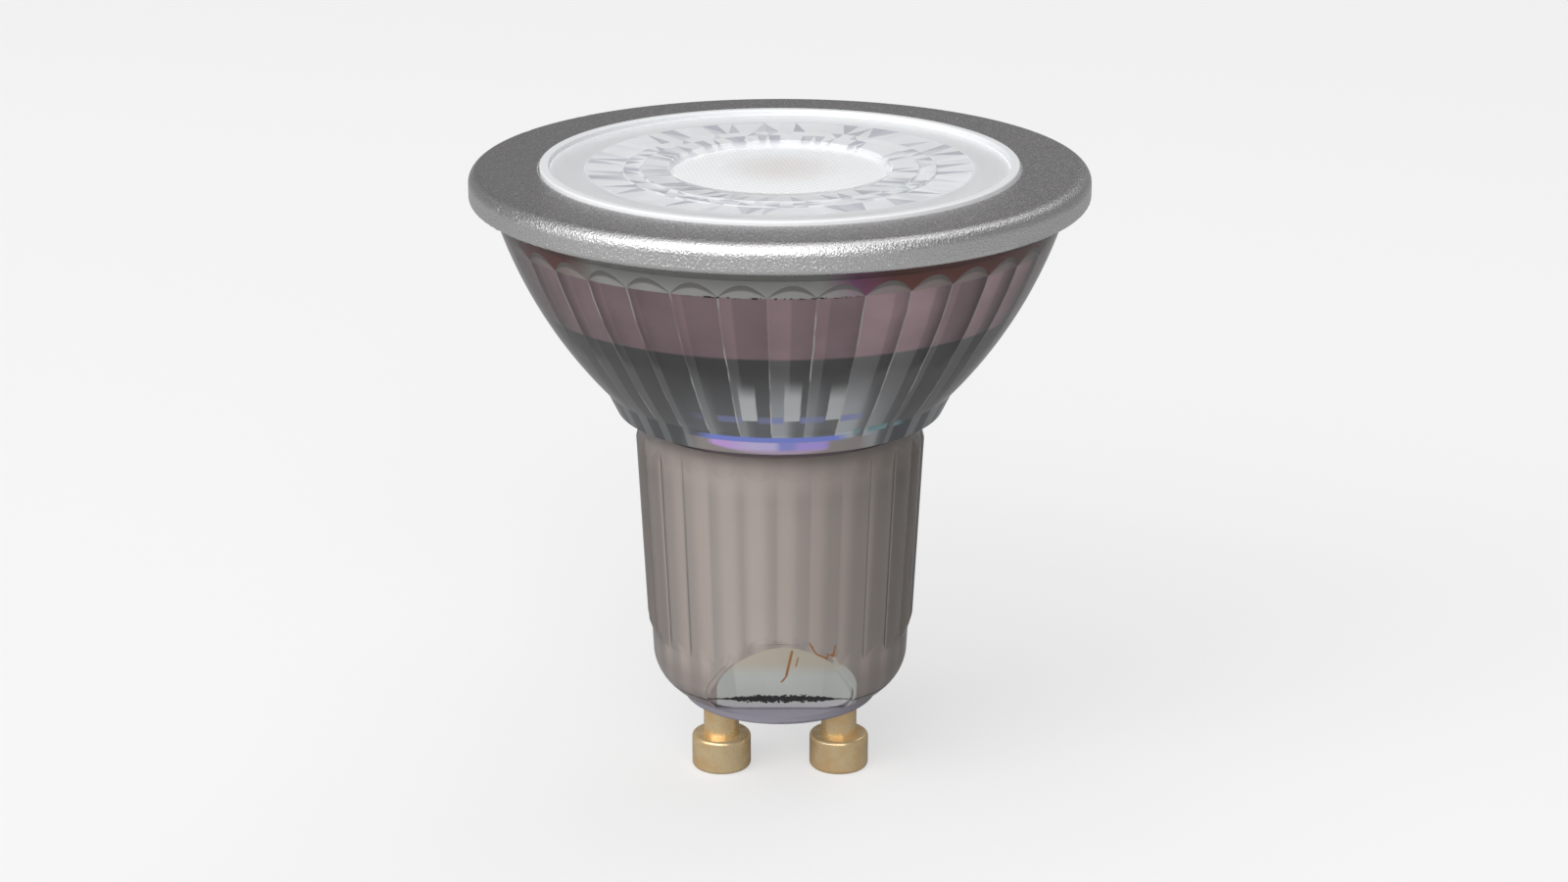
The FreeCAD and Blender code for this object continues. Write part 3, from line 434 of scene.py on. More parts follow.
def flute_radius(angle, height):
    """How far from the axis the film is: shallow lobes that a cone cuts off at the top as arches."""
    pitch = 2 * math.pi / FLUTES
    off_centre = (angle - FLUTE_TURN + pitch / 2) % pitch - pitch / 2
    lobe = cup_radius(height, CREST_DEPTH) - SCALLOP * (2 * off_centre / pitch) ** 2
    cone_low = cup_radius(ARCH_LOW, CREST_DEPTH) - SCALLOP
    cone_high = cup_radius(ARCH_HIGH, CREST_DEPTH)
    cone = cone_low + (cone_high - cone_low) * (height - ARCH_LOW) / (ARCH_HIGH - ARCH_LOW)
    return max(lobe, cone)


def thicken(piece, thickness):
    """Gives the selected sheet its wall, on the inner side of its faces."""
    wall = piece.modifiers.new("wall", "SOLIDIFY")
    wall.thickness = thickness
    wall.offset = -1
    bpy.ops.object.modifier_apply(modifier=wall.name)


bpy.ops.object.select_all(action="DESELECT")
bpy.ops.mesh.primitive_grid_add(x_subdivisions=FLUTES * FLUTE_COLUMNS, y_subdivisions=FILM_ROWS, size=1)
film = bpy.context.object
film.name = "mirror_film"
for corner in film.data.vertices:
    angle = FLUTE_TURN + 2 * math.pi * (corner.co.x + 0.5)
    share = 0.5 - corner.co.y
    height = FILM_HIGH - (FILM_HIGH - FILM_LOW) * share ** FILM_CROWDING
    radius = flute_radius(angle, height) + FILM_SINK
    corner.co = (radius * math.cos(angle), radius * math.sin(angle), height)
bpy.ops.object.mode_set(mode="EDIT")
bpy.ops.mesh.select_all(action="SELECT")
bpy.ops.mesh.remove_doubles(threshold=MERGE_REACH)
bpy.ops.mesh.normals_make_consistent(inside=False)
bpy.ops.object.mode_set(mode="OBJECT")
thicken(film, FILM_THICKNESS)
bpy.ops.object.shade_smooth_by_angle(angle=FILM_CREASE)
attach(film, "root")


def shown(tree, value, *edges):
    """1 between the second and third of four edges, running out to 0 at the first and the last."""
    rising = span(tree, value, edges[0], edges[1])
    falling = span(tree, value, edges[3], edges[2])
    return product(tree, rising, falling)


FILM_ROUGHNESS = (0.28, 0.36)
FILM_DRIFT = (180, 180, 300)
FRONT_SIDES = (7.5 * MM, 5.0 * MM)
WAVER = (300, 300, 500)

tree, shader = new_finish("filmed_mirror", film)
where = axes(tree)
height = where["Z"]
off_middle = maths(tree, "ABSOLUTE", where["X"])
drift = cloud(tree, FILM_DRIFT)
in_flute, flute_draw = around(tree, FLUTES, FLUTE_TURN)
from_ridge = maths(tree, "ABSOLUTE", in_flute)
waver = maths(tree, "MULTIPLY_ADD", cloud(tree, WAVER, detail=2.0), 0.05, -0.025)
near_front = span(tree, off_middle, *FRONT_SIDES)

# Painted reflection: each flute is paler on one flank and darker on the other, mauve above and slate below.
REFLECTED_MAUVE = (0.82, 0.60, 0.68, 1)
REFLECTED_ROSE = (0.70, 0.51, 0.57, 1)
REFLECTED_SLATE = (0.27, 0.277, 0.29, 1)
TINT_HEIGHTS = (42.15 * MM, 42.45 * MM)
FLANK_LIGHT_AND_SHADE = (1.3, 0.72)
MAUVE_FLANK_SHARE = 0.4

reflects_mauve = span(tree, height, *TINT_HEIGHTS)
upper = blend(tree, span(tree, drift, 0.3, 0.7), REFLECTED_MAUVE, REFLECTED_ROSE)
colour = blend(tree, reflects_mauve, REFLECTED_SLATE, upper)
past_flank = maths(tree, "SUBTRACT", in_flute, maths(tree, "MULTIPLY_ADD", flute_draw, 0.5, -0.3))
flank = maths(tree, "SUBTRACT", span(tree, past_flank, -0.03, 0.03, *FLANK_LIGHT_AND_SHADE), 1)
flank = maths(tree, "MULTIPLY_ADD", flank, span(tree, reflects_mauve, 0, 1, 1.0, MAUVE_FLANK_SHARE), 1)
tone = product(tree, flank, maths(tree, "MULTIPLY_ADD", flute_draw, 0.3, 0.86))
colour = add_node(tree, "VectorMath", {0: colour, "Scale": tone}, operation="SCALE").outputs[0]

# Painted reflection: the flutes in front are streaked with silver towards the foot.
REFLECTED_SILVER = (0.84, 0.90, 0.95, 1)
SILVER_SIDES = (9.5 * MM, 5 * MM)
SILVER_HEIGHTS = (41.5 * MM, 37 * MM)

silver_reflection = product(tree, span(tree, off_middle, *SILVER_SIDES), span(tree, height, *SILVER_HEIGHTS))
streaky = product(tree, span(tree, past_flank, 0.3, -0.2), span(tree, flute_draw, 0.1, 0.8, 0.4, 1.0))
silver_reflection = product(tree, silver_reflection, maths(tree, "MULTIPLY_ADD", streaky, 0.75, 0.18))
colour = blend(tree, silver_reflection, colour, REFLECTED_SILVER)

# Painted reflection: low down, bright window panes stand side by side, with a broken blue fringe at their
# feet.
REFLECTED_WINDOW_WHITE = (0.93, 0.98, 1.0, 1)
WINDOWS = 30
WINDOW_TURN = math.radians(3.4 - 90)
WINDOW_SIDES = (-3.7 * MM, -3.5 * MM, 5.0 * MM, 5.2 * MM)
WINDOW_WIDTH = (0.205, 0.165)
WINDOW_LOW = (36.0 * MM, 36.12 * MM)
WINDOW_HIGH = 40.2 * MM
WINDOW_PLAY = 0.8 * MM
WINDOW_FADE = (0.2 * MM, -1.9 * MM)
REFLECTED_FRINGE_BLUE = (0.42, 0.48, 0.95, 1)
FRINGE_HEIGHT = 36.15 * MM
FRINGE_REACH = (0.45 * MM, 0.25 * MM)

in_window, window_draw = around(tree, WINDOWS, WINDOW_TURN)
in_window = maths(tree, "ABSOLUTE", maths(tree, "ADD", in_window, waver))
window_top = maths(tree, "MULTIPLY_ADD", window_draw, WINDOW_PLAY, WINDOW_HIGH - WINDOW_PLAY / 2)
window_reflection = product(tree, span(tree, in_window, *WINDOW_WIDTH), shown(tree, where["X"], *WINDOW_SIDES),
               span(tree, maths(tree, "SUBTRACT", height, window_top), *WINDOW_FADE),
               span(tree, height, *WINDOW_LOW))
colour = blend(tree, window_reflection, colour, REFLECTED_WINDOW_WHITE)
reflected_fringe = product(tree, span(tree, distance(tree, height, FRINGE_HEIGHT), *FRINGE_REACH),
                 span(tree, in_window, 0.17, 0.24), near_front,
                 span(tree, flute_draw, 0.1, 0.6, 0.55, 0.85))
colour = blend(tree, reflected_fringe, colour, REFLECTED_FRINGE_BLUE)

# Painted glints: a few flutes on the right have a touch of teal just above the foot.
REFLECTED_TEAL = (0.34, 0.58, 0.62, 1)
TEAL_HEIGHTS = (34.0 * MM, 34.15 * MM, 34.55 * MM, 34.7 * MM)
TEAL_SIDES = (5.5 * MM, 6.2 * MM, 9 * MM, 10 * MM)

teal_glint = product(tree, shown(tree, height, *TEAL_HEIGHTS), shown(tree, where["X"], *TEAL_SIDES),
               span(tree, from_ridge, 0.4, 0.3))
colour = blend(tree, teal_glint, colour, REFLECTED_TEAL)

# The foot is a warm grey, with a painted blue crescent over a painted glow from pink to violet that tapers.
FOOT_WARM = (0.40, 0.36, 0.35, 1)
FOOT_SIDES = (8 * MM, 6 * MM)
FOOT_FADE = 0.3 * MM
REFLECTED_BLUE = (0.30, 0.37, 0.98, 1)
CRESCENT_HEIGHT = 33.9 * MM
CRESCENT_REACH = (0.34 * MM, 0.16 * MM)
CRESCENT_SIDES = (-7.0 * MM, -5.2 * MM, 4.2 * MM, 5.8 * MM)
GLOW_PINK = (0.76, 0.48, 1.0, 1)
GLOW_PALE = (0.72, 0.64, 1.0, 1)
GLOW_GAP = (0.36, 0.38, 0.88, 1)
GLOW_VIOLET = (0.56, 0.44, 1.0, 1)
GLOW_ROSE = (0.62, 0.48, 0.66, 1)
PALE_FROM = (-4.5 * MM, -2 * MM)
GAP_FROM = (-0.5 * MM, 0.2 * MM)
VIOLET_FROM = (0.8 * MM, 1.7 * MM)
ROSE_HEIGHTS = (33.1 * MM, 32.65 * MM)
GLOW_TOP = (33.74 * MM, 33.58 * MM)
GLOW_SIDES = (-5.9 * MM, -5.1 * MM, 3.4 * MM, 4.2 * MM)
GLOW_BOTTOM = 32.4 * MM
GLOW_TAPER = 25
GLOW_FADE = (-0.1 * MM, 0.25 * MM)

foot = product(tree, span(tree, height, CRESCENT_HEIGHT, CRESCENT_HEIGHT - FOOT_FADE),
               span(tree, off_middle, *FOOT_SIDES))
colour = blend(tree, foot, colour, FOOT_WARM)
reflected_crescent = product(tree, span(tree, distance(tree, height, CRESCENT_HEIGHT), *CRESCENT_REACH),
                   shown(tree, where["X"], *CRESCENT_SIDES))
colour = blend(tree, reflected_crescent, colour, REFLECTED_BLUE)
painted_glow_colour = blend(tree, span(tree, where["X"], *PALE_FROM), GLOW_PINK, GLOW_PALE)
painted_glow_colour = blend(tree, span(tree, where["X"], *GAP_FROM), painted_glow_colour, GLOW_GAP)
painted_glow_colour = blend(tree, span(tree, where["X"], *VIOLET_FROM), painted_glow_colour, GLOW_VIOLET)
painted_glow_colour = blend(tree, span(tree, height, *ROSE_HEIGHTS), painted_glow_colour, GLOW_ROSE)
taper = maths(tree, "MULTIPLY_ADD", maths(tree, "POWER", off_middle, 2), GLOW_TAPER, GLOW_BOTTOM)
painted_glow = product(tree, span(tree, height, *GLOW_TOP), shown(tree, where["X"], *GLOW_SIDES),
               span(tree, maths(tree, "SUBTRACT", height, taper), *GLOW_FADE))
colour = blend(tree, painted_glow, colour, painted_glow_colour)

# A painted highlight: the cusp between two flutes shows as a fine, uneven white line, down to the crescent.
HIGHLIGHT_WHITE = (0.95, 0.95, 0.95, 1)
CUSP_REACH = (0.026, 0.01)
CUSP_HEIGHTS = (34.2 * MM, 34.8 * MM)
GLINTS = (400, 400, 260)

from_cusp = distance(tree, maths(tree, "ABSOLUTE", maths(tree, "ADD", in_flute, waver)), 0.5)
glint = span(tree, cloud(tree, GLINTS, detail=2.0), 0.42, 0.62, 0.2, 1.0)
cusp_highlight = product(tree, span(tree, from_cusp, *CUSP_REACH), glint, span(tree, height, *CUSP_HEIGHTS))
colour = blend(tree, cusp_highlight, colour, HIGHLIGHT_WHITE)

# Above the arches lies the plain band of the rim, a grey arch over each flute, and black dashes at its foot.
FILM_PALE = (0.86, 0.91, 0.87, 1)
RED_BROWN = (0.42, 0.14, 0.11, 1)
MAGENTA = (0.55, 0.20, 0.46, 1)
RIM_STOPS = ((0.13, RED_BROWN), (0.18, FILM_PALE), (0.57, FILM_PALE), (0.63, MAGENTA), (0.70, RED_BROWN))
ARCH_SHADE_GREY = (0.34, 0.33, 0.32, 1)
ARCH_RISE = ARCH_HIGH - ARCH_LOW
ARCH_BAND = 0.42 * MM
ARCH_PALE_EDGE = (0, -0.06 * MM)
ARCH_OUTER_EDGE = (0.03 * MM, -0.03 * MM)
ARCH_INNER_EDGE = (-0.12 * MM, 0.08 * MM)
LEDGE_BLUR = 0.04 * MM
DASH_BLACK = (0.03, 0.03, 0.03, 1)
DASH_REACH = (0.1 * MM, 0.05 * MM)
DASH_CELLS = (1800, 1800, 2600)


def from_axis(tree):
    """The distance of a point from the lamp's axis."""
    where = axes(tree)
    squares = [maths(tree, "POWER", where[name], 2) for name in ("X", "Y")]
    return maths(tree, "SQRT", maths(tree, "ADD", *squares))


def sealed_rim_colour(tree):
    """The colours along the sealed rim, from left to right: red-brown, pale, magenta, red-brown."""
    sideways = maths(tree, "DIVIDE", axes(tree)["X"], from_axis(tree))
    ramp = add_node(tree, "ValToRGB", {"Fac": maths(tree, "MULTIPLY_ADD", sideways, 0.5, 0.5)})
    stops = ramp.color_ramp.elements
    while len(stops) < len(RIM_STOPS):
        stops.new(1.0)
    for stop, (position, colour) in zip(stops, RIM_STOPS):
        stop.position = position
        stop.color = colour
    return ramp.outputs["Color"]


def over_bow(tree, rise):
    """How high a point is above an arch of that rise over its flute."""
    bow = maths(tree, "MULTIPLY_ADD", maths(tree, "POWER", from_ridge, 2), -4, 1)
    return maths(tree, "SUBTRACT", height, maths(tree, "MULTIPLY_ADD", bow, rise, ARCH_LOW))


rim = sealed_rim_colour(tree)
over_arch = over_bow(tree, ARCH_RISE)
over_inner = over_bow(tree, ARCH_RISE - ARCH_BAND)
# Painted highlight and shade: the rim is paler above each arch, with a grey band of painted shade along it.
rim = blend(tree, span(tree, over_arch, *ARCH_PALE_EDGE), rim, blend(tree, 0.6, rim, HIGHLIGHT_WHITE))
arch_shade = product(tree, span(tree, over_arch, *ARCH_OUTER_EDGE), span(tree, over_inner, *ARCH_INNER_EDGE))
rim = blend(tree, product(tree, arch_shade, 0.8), rim, ARCH_SHADE_GREY)
on_rim = span(tree, height, ARCH_LOW - LEDGE_BLUR, ARCH_LOW + LEDGE_BLUR)
colour = blend(tree, on_rim, colour, rim)
dash_noise = cloud(tree, DASH_CELLS, detail=4.0, roughness=0.7)
dark_dashes = product(tree, span(tree, distance(tree, height, ARCH_LOW), *DASH_REACH),
               span(tree, dash_noise, 0.5, 0.56), near_front)


def highest(tree, first, *others):
    """The largest of several shares."""
    for other in others:
        first = maths(tree, "MAXIMUM", first, other)
    return first


# The shares say how far each of these marks takes the film from metal to a plain colour.
RIM_BARE = 0.6
LINE_BARE = 0.7
BLUE_BARE = 0.8
BARE_LOSS = -0.8

bare = highest(tree, window_reflection, painted_glow, foot, product(tree, on_rim, RIM_BARE), product(tree, cusp_highlight, LINE_BARE),
               product(tree, highest(tree, reflected_crescent, reflected_fringe), BLUE_BARE))
fill_sockets(tree, shader, {
    "Base Color": blend(tree, dark_dashes, colour, DASH_BLACK),
    "Metallic": maths(tree, "MULTIPLY_ADD", bare, BARE_LOSS, 1),
    "Roughness": span(tree, drift, 0.3, 0.75, *FILM_ROUGHNESS),
})


# A narrow ring of thin film in the throat of the glass carries a painted reflection of the mirror's foot.
# It is violet above and rose below, brightest towards the front and the back, and painted dark at the sides.
THROAT_LOW = 31.3 * MM
THROAT_HIGH = 33.45 * MM
THROAT_RADIUS = 10.26 * MM
THROAT_SIDES = (4.5 * MM, 7 * MM)
THROAT_PINK = (0.62, 0.48, 0.56, 1)
THROAT_VIOLET = (0.62, 0.50, 0.80, 1)
THROAT_SIDE_SHADE = (0.10, 0.09, 0.09, 1)
THROAT_ROUGHNESS = 0.3

bpy.ops.object.select_all(action="DESELECT")
bpy.ops.mesh.primitive_cylinder_add(vertices=240, radius=THROAT_RADIUS, depth=THROAT_HIGH - THROAT_LOW,
                                    end_fill_type="NOTHING", location=(0, 0, (THROAT_LOW + THROAT_HIGH) / 2))
throat = bpy.context.object
throat.name = "throat_reflection_ring"
bpy.ops.object.transform_apply(location=True, rotation=True, scale=True)
thicken(throat, FILM_THICKNESS)
bpy.ops.object.shade_smooth_by_angle(angle=math.radians(30))
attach(throat, "root")

tree, shader = new_finish("throat_painted_reflection", throat)
where = axes(tree)
painted_bright = blend(tree, span(tree, where["Z"], THROAT_LOW, THROAT_HIGH), THROAT_PINK, THROAT_VIOLET)
aside = span(tree, maths(tree, "ABSOLUTE", where["X"]), *THROAT_SIDES)
fill_sockets(tree, shader, {
    "Base Color": blend(tree, aside, painted_bright, THROAT_SIDE_SHADE),
    "Roughness": THROAT_ROUGHNESS,
})


# The liner is a drawn metal cup behind the mirror, with a thick floor that carries the light source.
# It takes the heat away, and its inside is bright, so the lens looks white from above.
LINER_BRIGHT = (0.90, 0.90, 0.89, 1)
LINER_DULL = (0.82, 0.82, 0.81, 1)
LINER_METALLIC = 0.25
LINER_ROUGHNESS = (0.3, 0.45)
DRAWING_MARKS = (300, 300, 2500)

tree, shader = new_finish("liner_metal", "heat_sink_liner")
drawn = cloud(tree, DRAWING_MARKS)
fill_sockets(tree, shader, {
    "Base Color": blend(tree, span(tree, drawn, 0.35, 0.7), LINER_BRIGHT, LINER_DULL),
    "Metallic": LINER_METALLIC,
    "Roughness": span(tree, drawn, 0.3, 0.7, *LINER_ROUGHNESS),
})


# The light source is a chip under a disc of phosphor, on a ceramic carrier and a white board.
# A pad of grey putty joins the board to the liner's floor, and two leads come up through it.
SOURCE_FINISHES = (
    ("pad_putty", "thermal_pad", (0.30, 0.31, 0.33, 1), (0.25, 0.26, 0.27, 1)),
    ("white_mask", "led_board", (0.80, 0.80, 0.78, 1), (0.74, 0.74, 0.72, 1)),
    ("white_ceramic", "led_carrier", (0.82, 0.82, 0.80, 1), (0.78, 0.77, 0.74, 1)),
    ("yellow_phosphor", "led_phosphor", (0.80, 0.66, 0.20, 1), (0.74, 0.58, 0.16, 1)),
    ("red_coat", "led_lead_positive", (0.40, 0.03, 0.03, 1), (0.30, 0.02, 0.02, 1)),
    ("black_coat", "led_lead_negative", (0.03, 0.03, 0.03, 1), (0.05, 0.05, 0.05, 1)),
)

coat(SOURCE_FINISHES)


# The lens is one moulding of clear plastic: a rim, a flat ring, a recessed disc, and a wall below.
# The disc is covered with tiny lenses in slanting rows, pressed by the mould.
# The plastic is slightly milky on the disc and the ring, and most of all on the rim.
LENS_CLEAR = (0.93, 0.94, 0.95, 1)
LENS_MILKY = (0.92, 0.93, 0.95, 1)
LENS_ROSE_REFLECTION = (0.86, 0.84, 0.84, 1)
LENS_REFRACTION = 1.49
LENS_CLEARNESS = 0.85
LENS_ROUGHNESS = 0.01
MILKY_ROUGHNESS = 0.35
DISC_MILKINESS = 0.55
RING_MILKINESS = 0.6
RIM_MILKINESS = 0.85
DISC_RADIUS = 9.1 * MM
DISC_BLUR = 0.3 * MM
DISC_EDGE = 51.95 * MM
DISC_CROWN = 0.3 * MM
ROSE_REFLECTION_RADII = (1 * MM, 6 * MM)
RING_RADII = (15.5 * MM, 15.6 * MM, 19 * MM, 19.1 * MM)
RIM_RADII = (18.35 * MM, 18.45 * MM)
FRONT_HEIGHTS = (51.4 * MM, 51.6 * MM)
LENSLET_FIELD = 8.6 * MM
LENSLET_PITCH = 0.5 * MM
LENSLET_RISE = 0.025 * MM
LENSLET_SLANT = math.radians(55)
LENSLET_GRID = 170
LENSLET_SHEET = 0.06 * MM


def lenslet_height(x, y):
    """The disc's slight crown with a field of tiny domes on it, in rows that slant across it."""
    bend = (DISC_RADIUS ** 2 + DISC_CROWN ** 2) / (2 * DISC_CROWN)
    crown = DISC_EDGE + DISC_CROWN - (bend - math.sqrt(bend ** 2 - x ** 2 - y ** 2))
    along = x * math.cos(LENSLET_SLANT) + y * math.sin(LENSLET_SLANT)
    aside = y * math.cos(LENSLET_SLANT) - x * math.sin(LENSLET_SLANT)
    waves = math.cos(2 * math.pi * along / LENSLET_PITCH) + math.cos(2 * math.pi * aside / LENSLET_PITCH)
    return crown + LENSLET_RISE * (1 + waves / 2)


bpy.ops.object.select_all(action="DESELECT")
bpy.ops.mesh.primitive_grid_add(x_subdivisions=LENSLET_GRID, y_subdivisions=LENSLET_GRID,
                                size=2 * LENSLET_FIELD)
lenslets = bpy.context.object
lenslets.name = "lens_lenslets"
bpy.ops.object.mode_set(mode="EDIT")
bpy.ops.mesh.select_all(action="DESELECT")
bpy.ops.object.mode_set(mode="OBJECT")
for corner in lenslets.data.vertices:
    corner.select = corner.co.xy.length > LENSLET_FIELD
    if not corner.select:
        corner.co.z = lenslet_height(corner.co.x, corner.co.y)
bpy.ops.object.mode_set(mode="EDIT")
bpy.ops.mesh.delete(type="VERT")
bpy.ops.object.mode_set(mode="OBJECT")
thicken(lenslets, LENSLET_SHEET)
bpy.ops.object.shade_smooth_by_angle(angle=math.radians(60))
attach(lenslets, "root")

tree, shader = new_finish("lens_plastic", "lens", lenslets)
reach = from_axis(tree)
on_front = span(tree, axes(tree)["Z"], *FRONT_HEIGHTS)
disc = product(tree, on_front, span(tree, reach, DISC_RADIUS, DISC_RADIUS - DISC_BLUR))
ring = product(tree, on_front, shown(tree, reach, *RING_RADII))
rim = product(tree, on_front, span(tree, reach, *RIM_RADII))
# The middle of the disc is tinted rose, a painted reflection.
disc_colour = blend(tree, span(tree, reach, *ROSE_REFLECTION_RADII), LENS_ROSE_REFLECTION, LENS_CLEAR)
milky = highest(tree, product(tree, disc, DISC_MILKINESS), product(tree, ring, RING_MILKINESS),
                product(tree, rim, RIM_MILKINESS))
fill_sockets(tree, shader, {
    "Base Color": blend(tree, ring, blend(tree, disc, LENS_CLEAR, disc_colour), LENS_MILKY),
    "Transmission Weight": maths(tree, "SUBTRACT", LENS_CLEARNESS, milky),
    "IOR": LENS_REFRACTION,
    "Roughness": maths(tree, "MULTIPLY_ADD", milky, MILKY_ROUGHNESS, LENS_ROUGHNESS),
})
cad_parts["lens"].visible_shadow = False
lenslets.visible_shadow = False


# Round the disc, the lens's gathering wall shows through the flat ring as three stepped rows of facets.
# They are moulded with the lens, are slightly uneven, and glitter white and grey.
# Each row of corners has its distance from the axis, its height, and how far its corners stray.
FACET_COLUMNS = 72
FACET_ROWS = (
    (8.9 * MM, 51.2 * MM, 0.05 * MM),
    (11.15 * MM, 52.05 * MM, 0.10 * MM),
    (11.3 * MM, 51.45 * MM, 0.08 * MM),
    (12.55 * MM, 52.0 * MM, 0.12 * MM),
    (12.7 * MM, 51.5 * MM, 0.10 * MM),
    (15.75 * MM, 52.15 * MM, 0.14 * MM),
)
FACET_SHEET = 0.05 * MM
FACET_WHITE = (0.92, 0.93, 0.94, 1)
FACET_GREY = (0.50, 0.52, 0.57, 1)
FACET_METALLIC = 0.05
FACET_ROUGHNESS = 0.14

last_row = len(FACET_ROWS) - 1
bpy.ops.object.select_all(action="DESELECT")
bpy.ops.mesh.primitive_grid_add(x_subdivisions=FACET_COLUMNS, y_subdivisions=last_row, size=1)
facets = bpy.context.object
facets.name = "lens_facets"
chance = random.Random(11)
uneven = [[chance.uniform(-1, 1) for column in range(FACET_COLUMNS)] for row in FACET_ROWS]
for corner in facets.data.vertices:
    column = round((corner.co.x + 0.5) * FACET_COLUMNS) % FACET_COLUMNS
    row = round((corner.co.y + 0.5) * last_row)
    radius, height, play = FACET_ROWS[row]
    angle = 2 * math.pi * column / FACET_COLUMNS
    height = height + play * uneven[row][column]
    corner.co = (radius * math.cos(angle), radius * math.sin(angle), height)
bpy.ops.object.mode_set(mode="EDIT")
bpy.ops.mesh.select_all(action="SELECT")
bpy.ops.mesh.remove_doubles(threshold=MERGE_REACH)
bpy.ops.object.mode_set(mode="OBJECT")
thicken(facets, FACET_SHEET)
bpy.ops.object.mode_set(mode="EDIT")
bpy.ops.mesh.select_all(action="SELECT")
bpy.ops.mesh.quads_convert_to_tris(quad_method="SHORTEST_DIAGONAL")
bpy.ops.mesh.normals_make_consistent(inside=False)
bpy.ops.object.mode_set(mode="OBJECT")
bpy.ops.object.shade_flat()
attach(facets, "root")
facets.visible_shadow = False

tree, shader = new_finish("facet_gloss", facets)
facing = add_node(tree, "NewGeometry").outputs["Normal"]
drawn = add_node(tree, "TexWhiteNoise", {"Vector": facing}, noise_dimensions="3D").outputs["Value"]
fill_sockets(tree, shader, {
    "Base Color": blend(tree, span(tree, drawn, 0.6, 0.98), FACET_WHITE, FACET_GREY),
    "Metallic": FACET_METALLIC,
    "Roughness": FACET_ROUGHNESS,
})


# A bead of red-brown sealant under the glass rim holds the lens down and keeps damp out.
# It is run in soft, so it wets the glass and is lumpy, and its inner side is grey.
BEAD_GREY = (0.62, 0.62, 0.61, 1)
BEAD_GREY_RADII = (21.2 * MM, 21.35 * MM)
BEAD_SWELL = 0.07 * MM
BEAD_LUMPS = (300, 300, 500)
BEAD_ROUGHNESS = (0.35, 0.55)
LUMP_STRENGTH = 0.2
LUMP_DEPTH = 0.2 * MM

bead = poured_copy("rim_bead", "rim_sealant", BEAD_SWELL)
tree, shader = new_finish("red_sealant", bead)
lumps = cloud(tree, BEAD_LUMPS)
outer_side = span(tree, from_axis(tree), *BEAD_GREY_RADII)
fill_sockets(tree, shader, {
    "Base Color": blend(tree, outer_side, BEAD_GREY, sealed_rim_colour(tree)),
    "Roughness": span(tree, lumps, 0.3, 0.7, *BEAD_ROUGHNESS),
    "Normal": bumps(tree, lumps, LUMP_STRENGTH, LUMP_DEPTH),
})


# The bezel is a cast ring with a blasted finish, pressed over the glass rim and the lens.
# Its grain sparkles and it has a few bright specks; its round edge is painted lighter than its top.
BEZEL_TOP_SHADE = (0.60, 0.58, 0.59, 1)
BEZEL_EDGE_LIGHT = (0.80, 0.80, 0.80, 1)
BEZEL_SPARK = (0.95, 0.95, 0.95, 1)
BEZEL_ROUGHNESS = (0.36, 0.22)
TOP_FACING = (0.75, 0.98)
BLAST_GRAIN = (5600, 5600, 5600)
GRAIN_SHARE = 0.4
GRAIN_STRENGTH = 0.6
GRAIN_DEPTH = 0.14 * MM
SPECKS = (3600, 3600, 3600)

tree, shader = new_finish("blasted_metal", "front_bezel")
facing = add_node(tree, "NewGeometry").outputs["Normal"]
upward = add_node(tree, "SeparateXYZ", {0: facing}).outputs["Z"]
grain = cloud(tree, BLAST_GRAIN, detail=2.0, roughness=0.6)
specks = cloud(tree, SPECKS, detail=1.0)
# Painted light and shade: the round edge is lighter and the top darker.
metal = blend(tree, span(tree, upward, *TOP_FACING), BEZEL_EDGE_LIGHT, BEZEL_TOP_SHADE)
metal = blend(tree, span(tree, grain, 0.5, 0.75, 0.0, GRAIN_SHARE), metal, BEZEL_SPARK)
fill_sockets(tree, shader, {
    "Base Color": blend(tree, span(tree, specks, 0.71, 0.75), metal, BEZEL_SPARK),
    "Metallic": 1.0,
    "Roughness": span(tree, grain, 0.3, 0.7, *BEZEL_ROUGHNESS),
    "Normal": bumps(tree, grain, GRAIN_STRENGTH, GRAIN_DEPTH),
})


# The studio is a plain floor in a pale room, with soft lamps above, in front, behind and on the left.
# The floor is lifted to white for the camera alone, so the lift lights nothing and isn't sampled as a lamp.
# The lamps don't show through the glass, which already lets their light in by casting no shadow.
FLOOR_REACH = 3.0
FLOOR_PALE = (0.42, 0.42, 0.42, 1)
FLOOR_LIFT = 0.53
FLOOR_ROUGHNESS = 0.9
FLOOR_SHINE = 0.1
ROOM_LIGHT = 0.22
LAMP_TARGET = (0, 0, 30 * MM)
LAMPS = (
    ("lamp_above", (-0.30, -0.45, 1.90), 2.00, 2.40, 16.5),
    ("lamp_front", (-0.68, -1.70, 1.36), 3.60, 1.35, 39.0),
    ("lamp_left", (-0.60, -0.25, 0.35), 0.35, 0.50, 0.5),
    ("lamp_back", (0.90, 1.20, 2.00), 1.20, 1.00, 6.0),
)

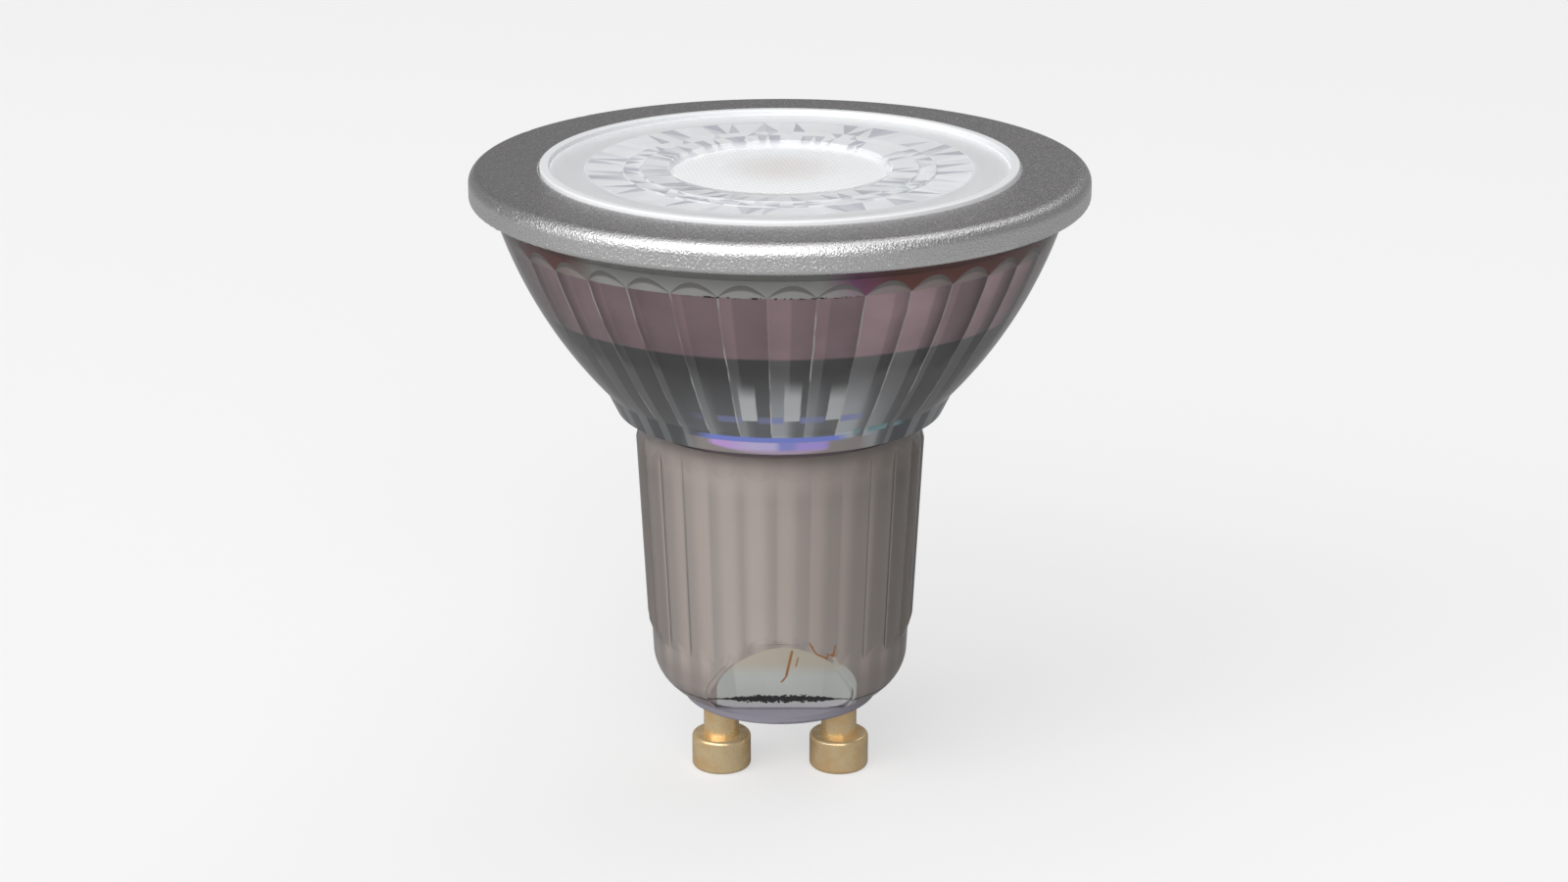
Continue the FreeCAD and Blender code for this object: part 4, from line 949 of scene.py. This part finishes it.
bpy.ops.object.select_all(action="DESELECT")
bpy.ops.mesh.primitive_circle_add(vertices=96, radius=FLOOR_REACH, fill_type="NGON")
floor = bpy.context.object
floor.name = "floor"
tree, shader = new_finish("floor_paper", floor)
seen = add_node(tree, "LightPath").outputs["Is Camera Ray"]
fill_sockets(tree, shader, {
    "Base Color": FLOOR_PALE,
    "Emission Color": (1, 1, 1, 1),
    "Emission Strength": product(tree, seen, FLOOR_LIFT),
    "Roughness": FLOOR_ROUGHNESS,
    "Specular IOR Level": FLOOR_SHINE,
})
floor.material_slots[0].material.cycles.emission_sampling = "NONE"

world = bpy.data.worlds.new("pale_room")
world.use_nodes = True
fill_sockets(world.node_tree, world.node_tree.nodes["Background"], {
    "Color": (1, 1, 1, 1),
    "Strength": ROOM_LIGHT,
})
bpy.context.scene.world = world


def aim(thing, target):
    """Turns a lamp or the camera so that it looks at a point."""
    thing.rotation_euler = (Vector(target) - thing.location).to_track_quat("-Z", "Y").to_euler()


for name, spot, width, depth, watts in LAMPS:
    bpy.ops.object.light_add(type="AREA", location=spot)
    lamp = bpy.context.object
    lamp.name = name
    lamp.data.shape = "RECTANGLE"
    lamp.data.size = width
    lamp.data.size_y = depth
    lamp.data.energy = watts
    lamp.visible_transmission = False
    aim(lamp, LAMP_TARGET)


# The camera stands where the photographer stood: about a quarter of a metre away, looking down a little.
# It aims just beside the lamp's axis, at about half its height.
CAMERA_DISTANCE = 264.8 * MM
CAMERA_RISE = math.radians(18.6)
CAMERA_ASIDE = 0.33 * MM
AIM_HEIGHT = 29.12 * MM
FOCAL_LENGTH = 73.5
NEAREST_SEEN = 10 * MM

reach = CAMERA_DISTANCE * math.cos(CAMERA_RISE)
rise = CAMERA_DISTANCE * math.sin(CAMERA_RISE)
bpy.ops.object.camera_add(location=(CAMERA_ASIDE, -reach, AIM_HEIGHT + rise))
camera = bpy.context.object
camera.name = "camera"
camera.data.lens = FOCAL_LENGTH
camera.data.clip_start = NEAREST_SEEN
aim(camera, (CAMERA_ASIDE, 0, AIM_HEIGHT))
bpy.context.scene.camera = camera
bpy.context.scene.view_settings.view_transform = "Standard"
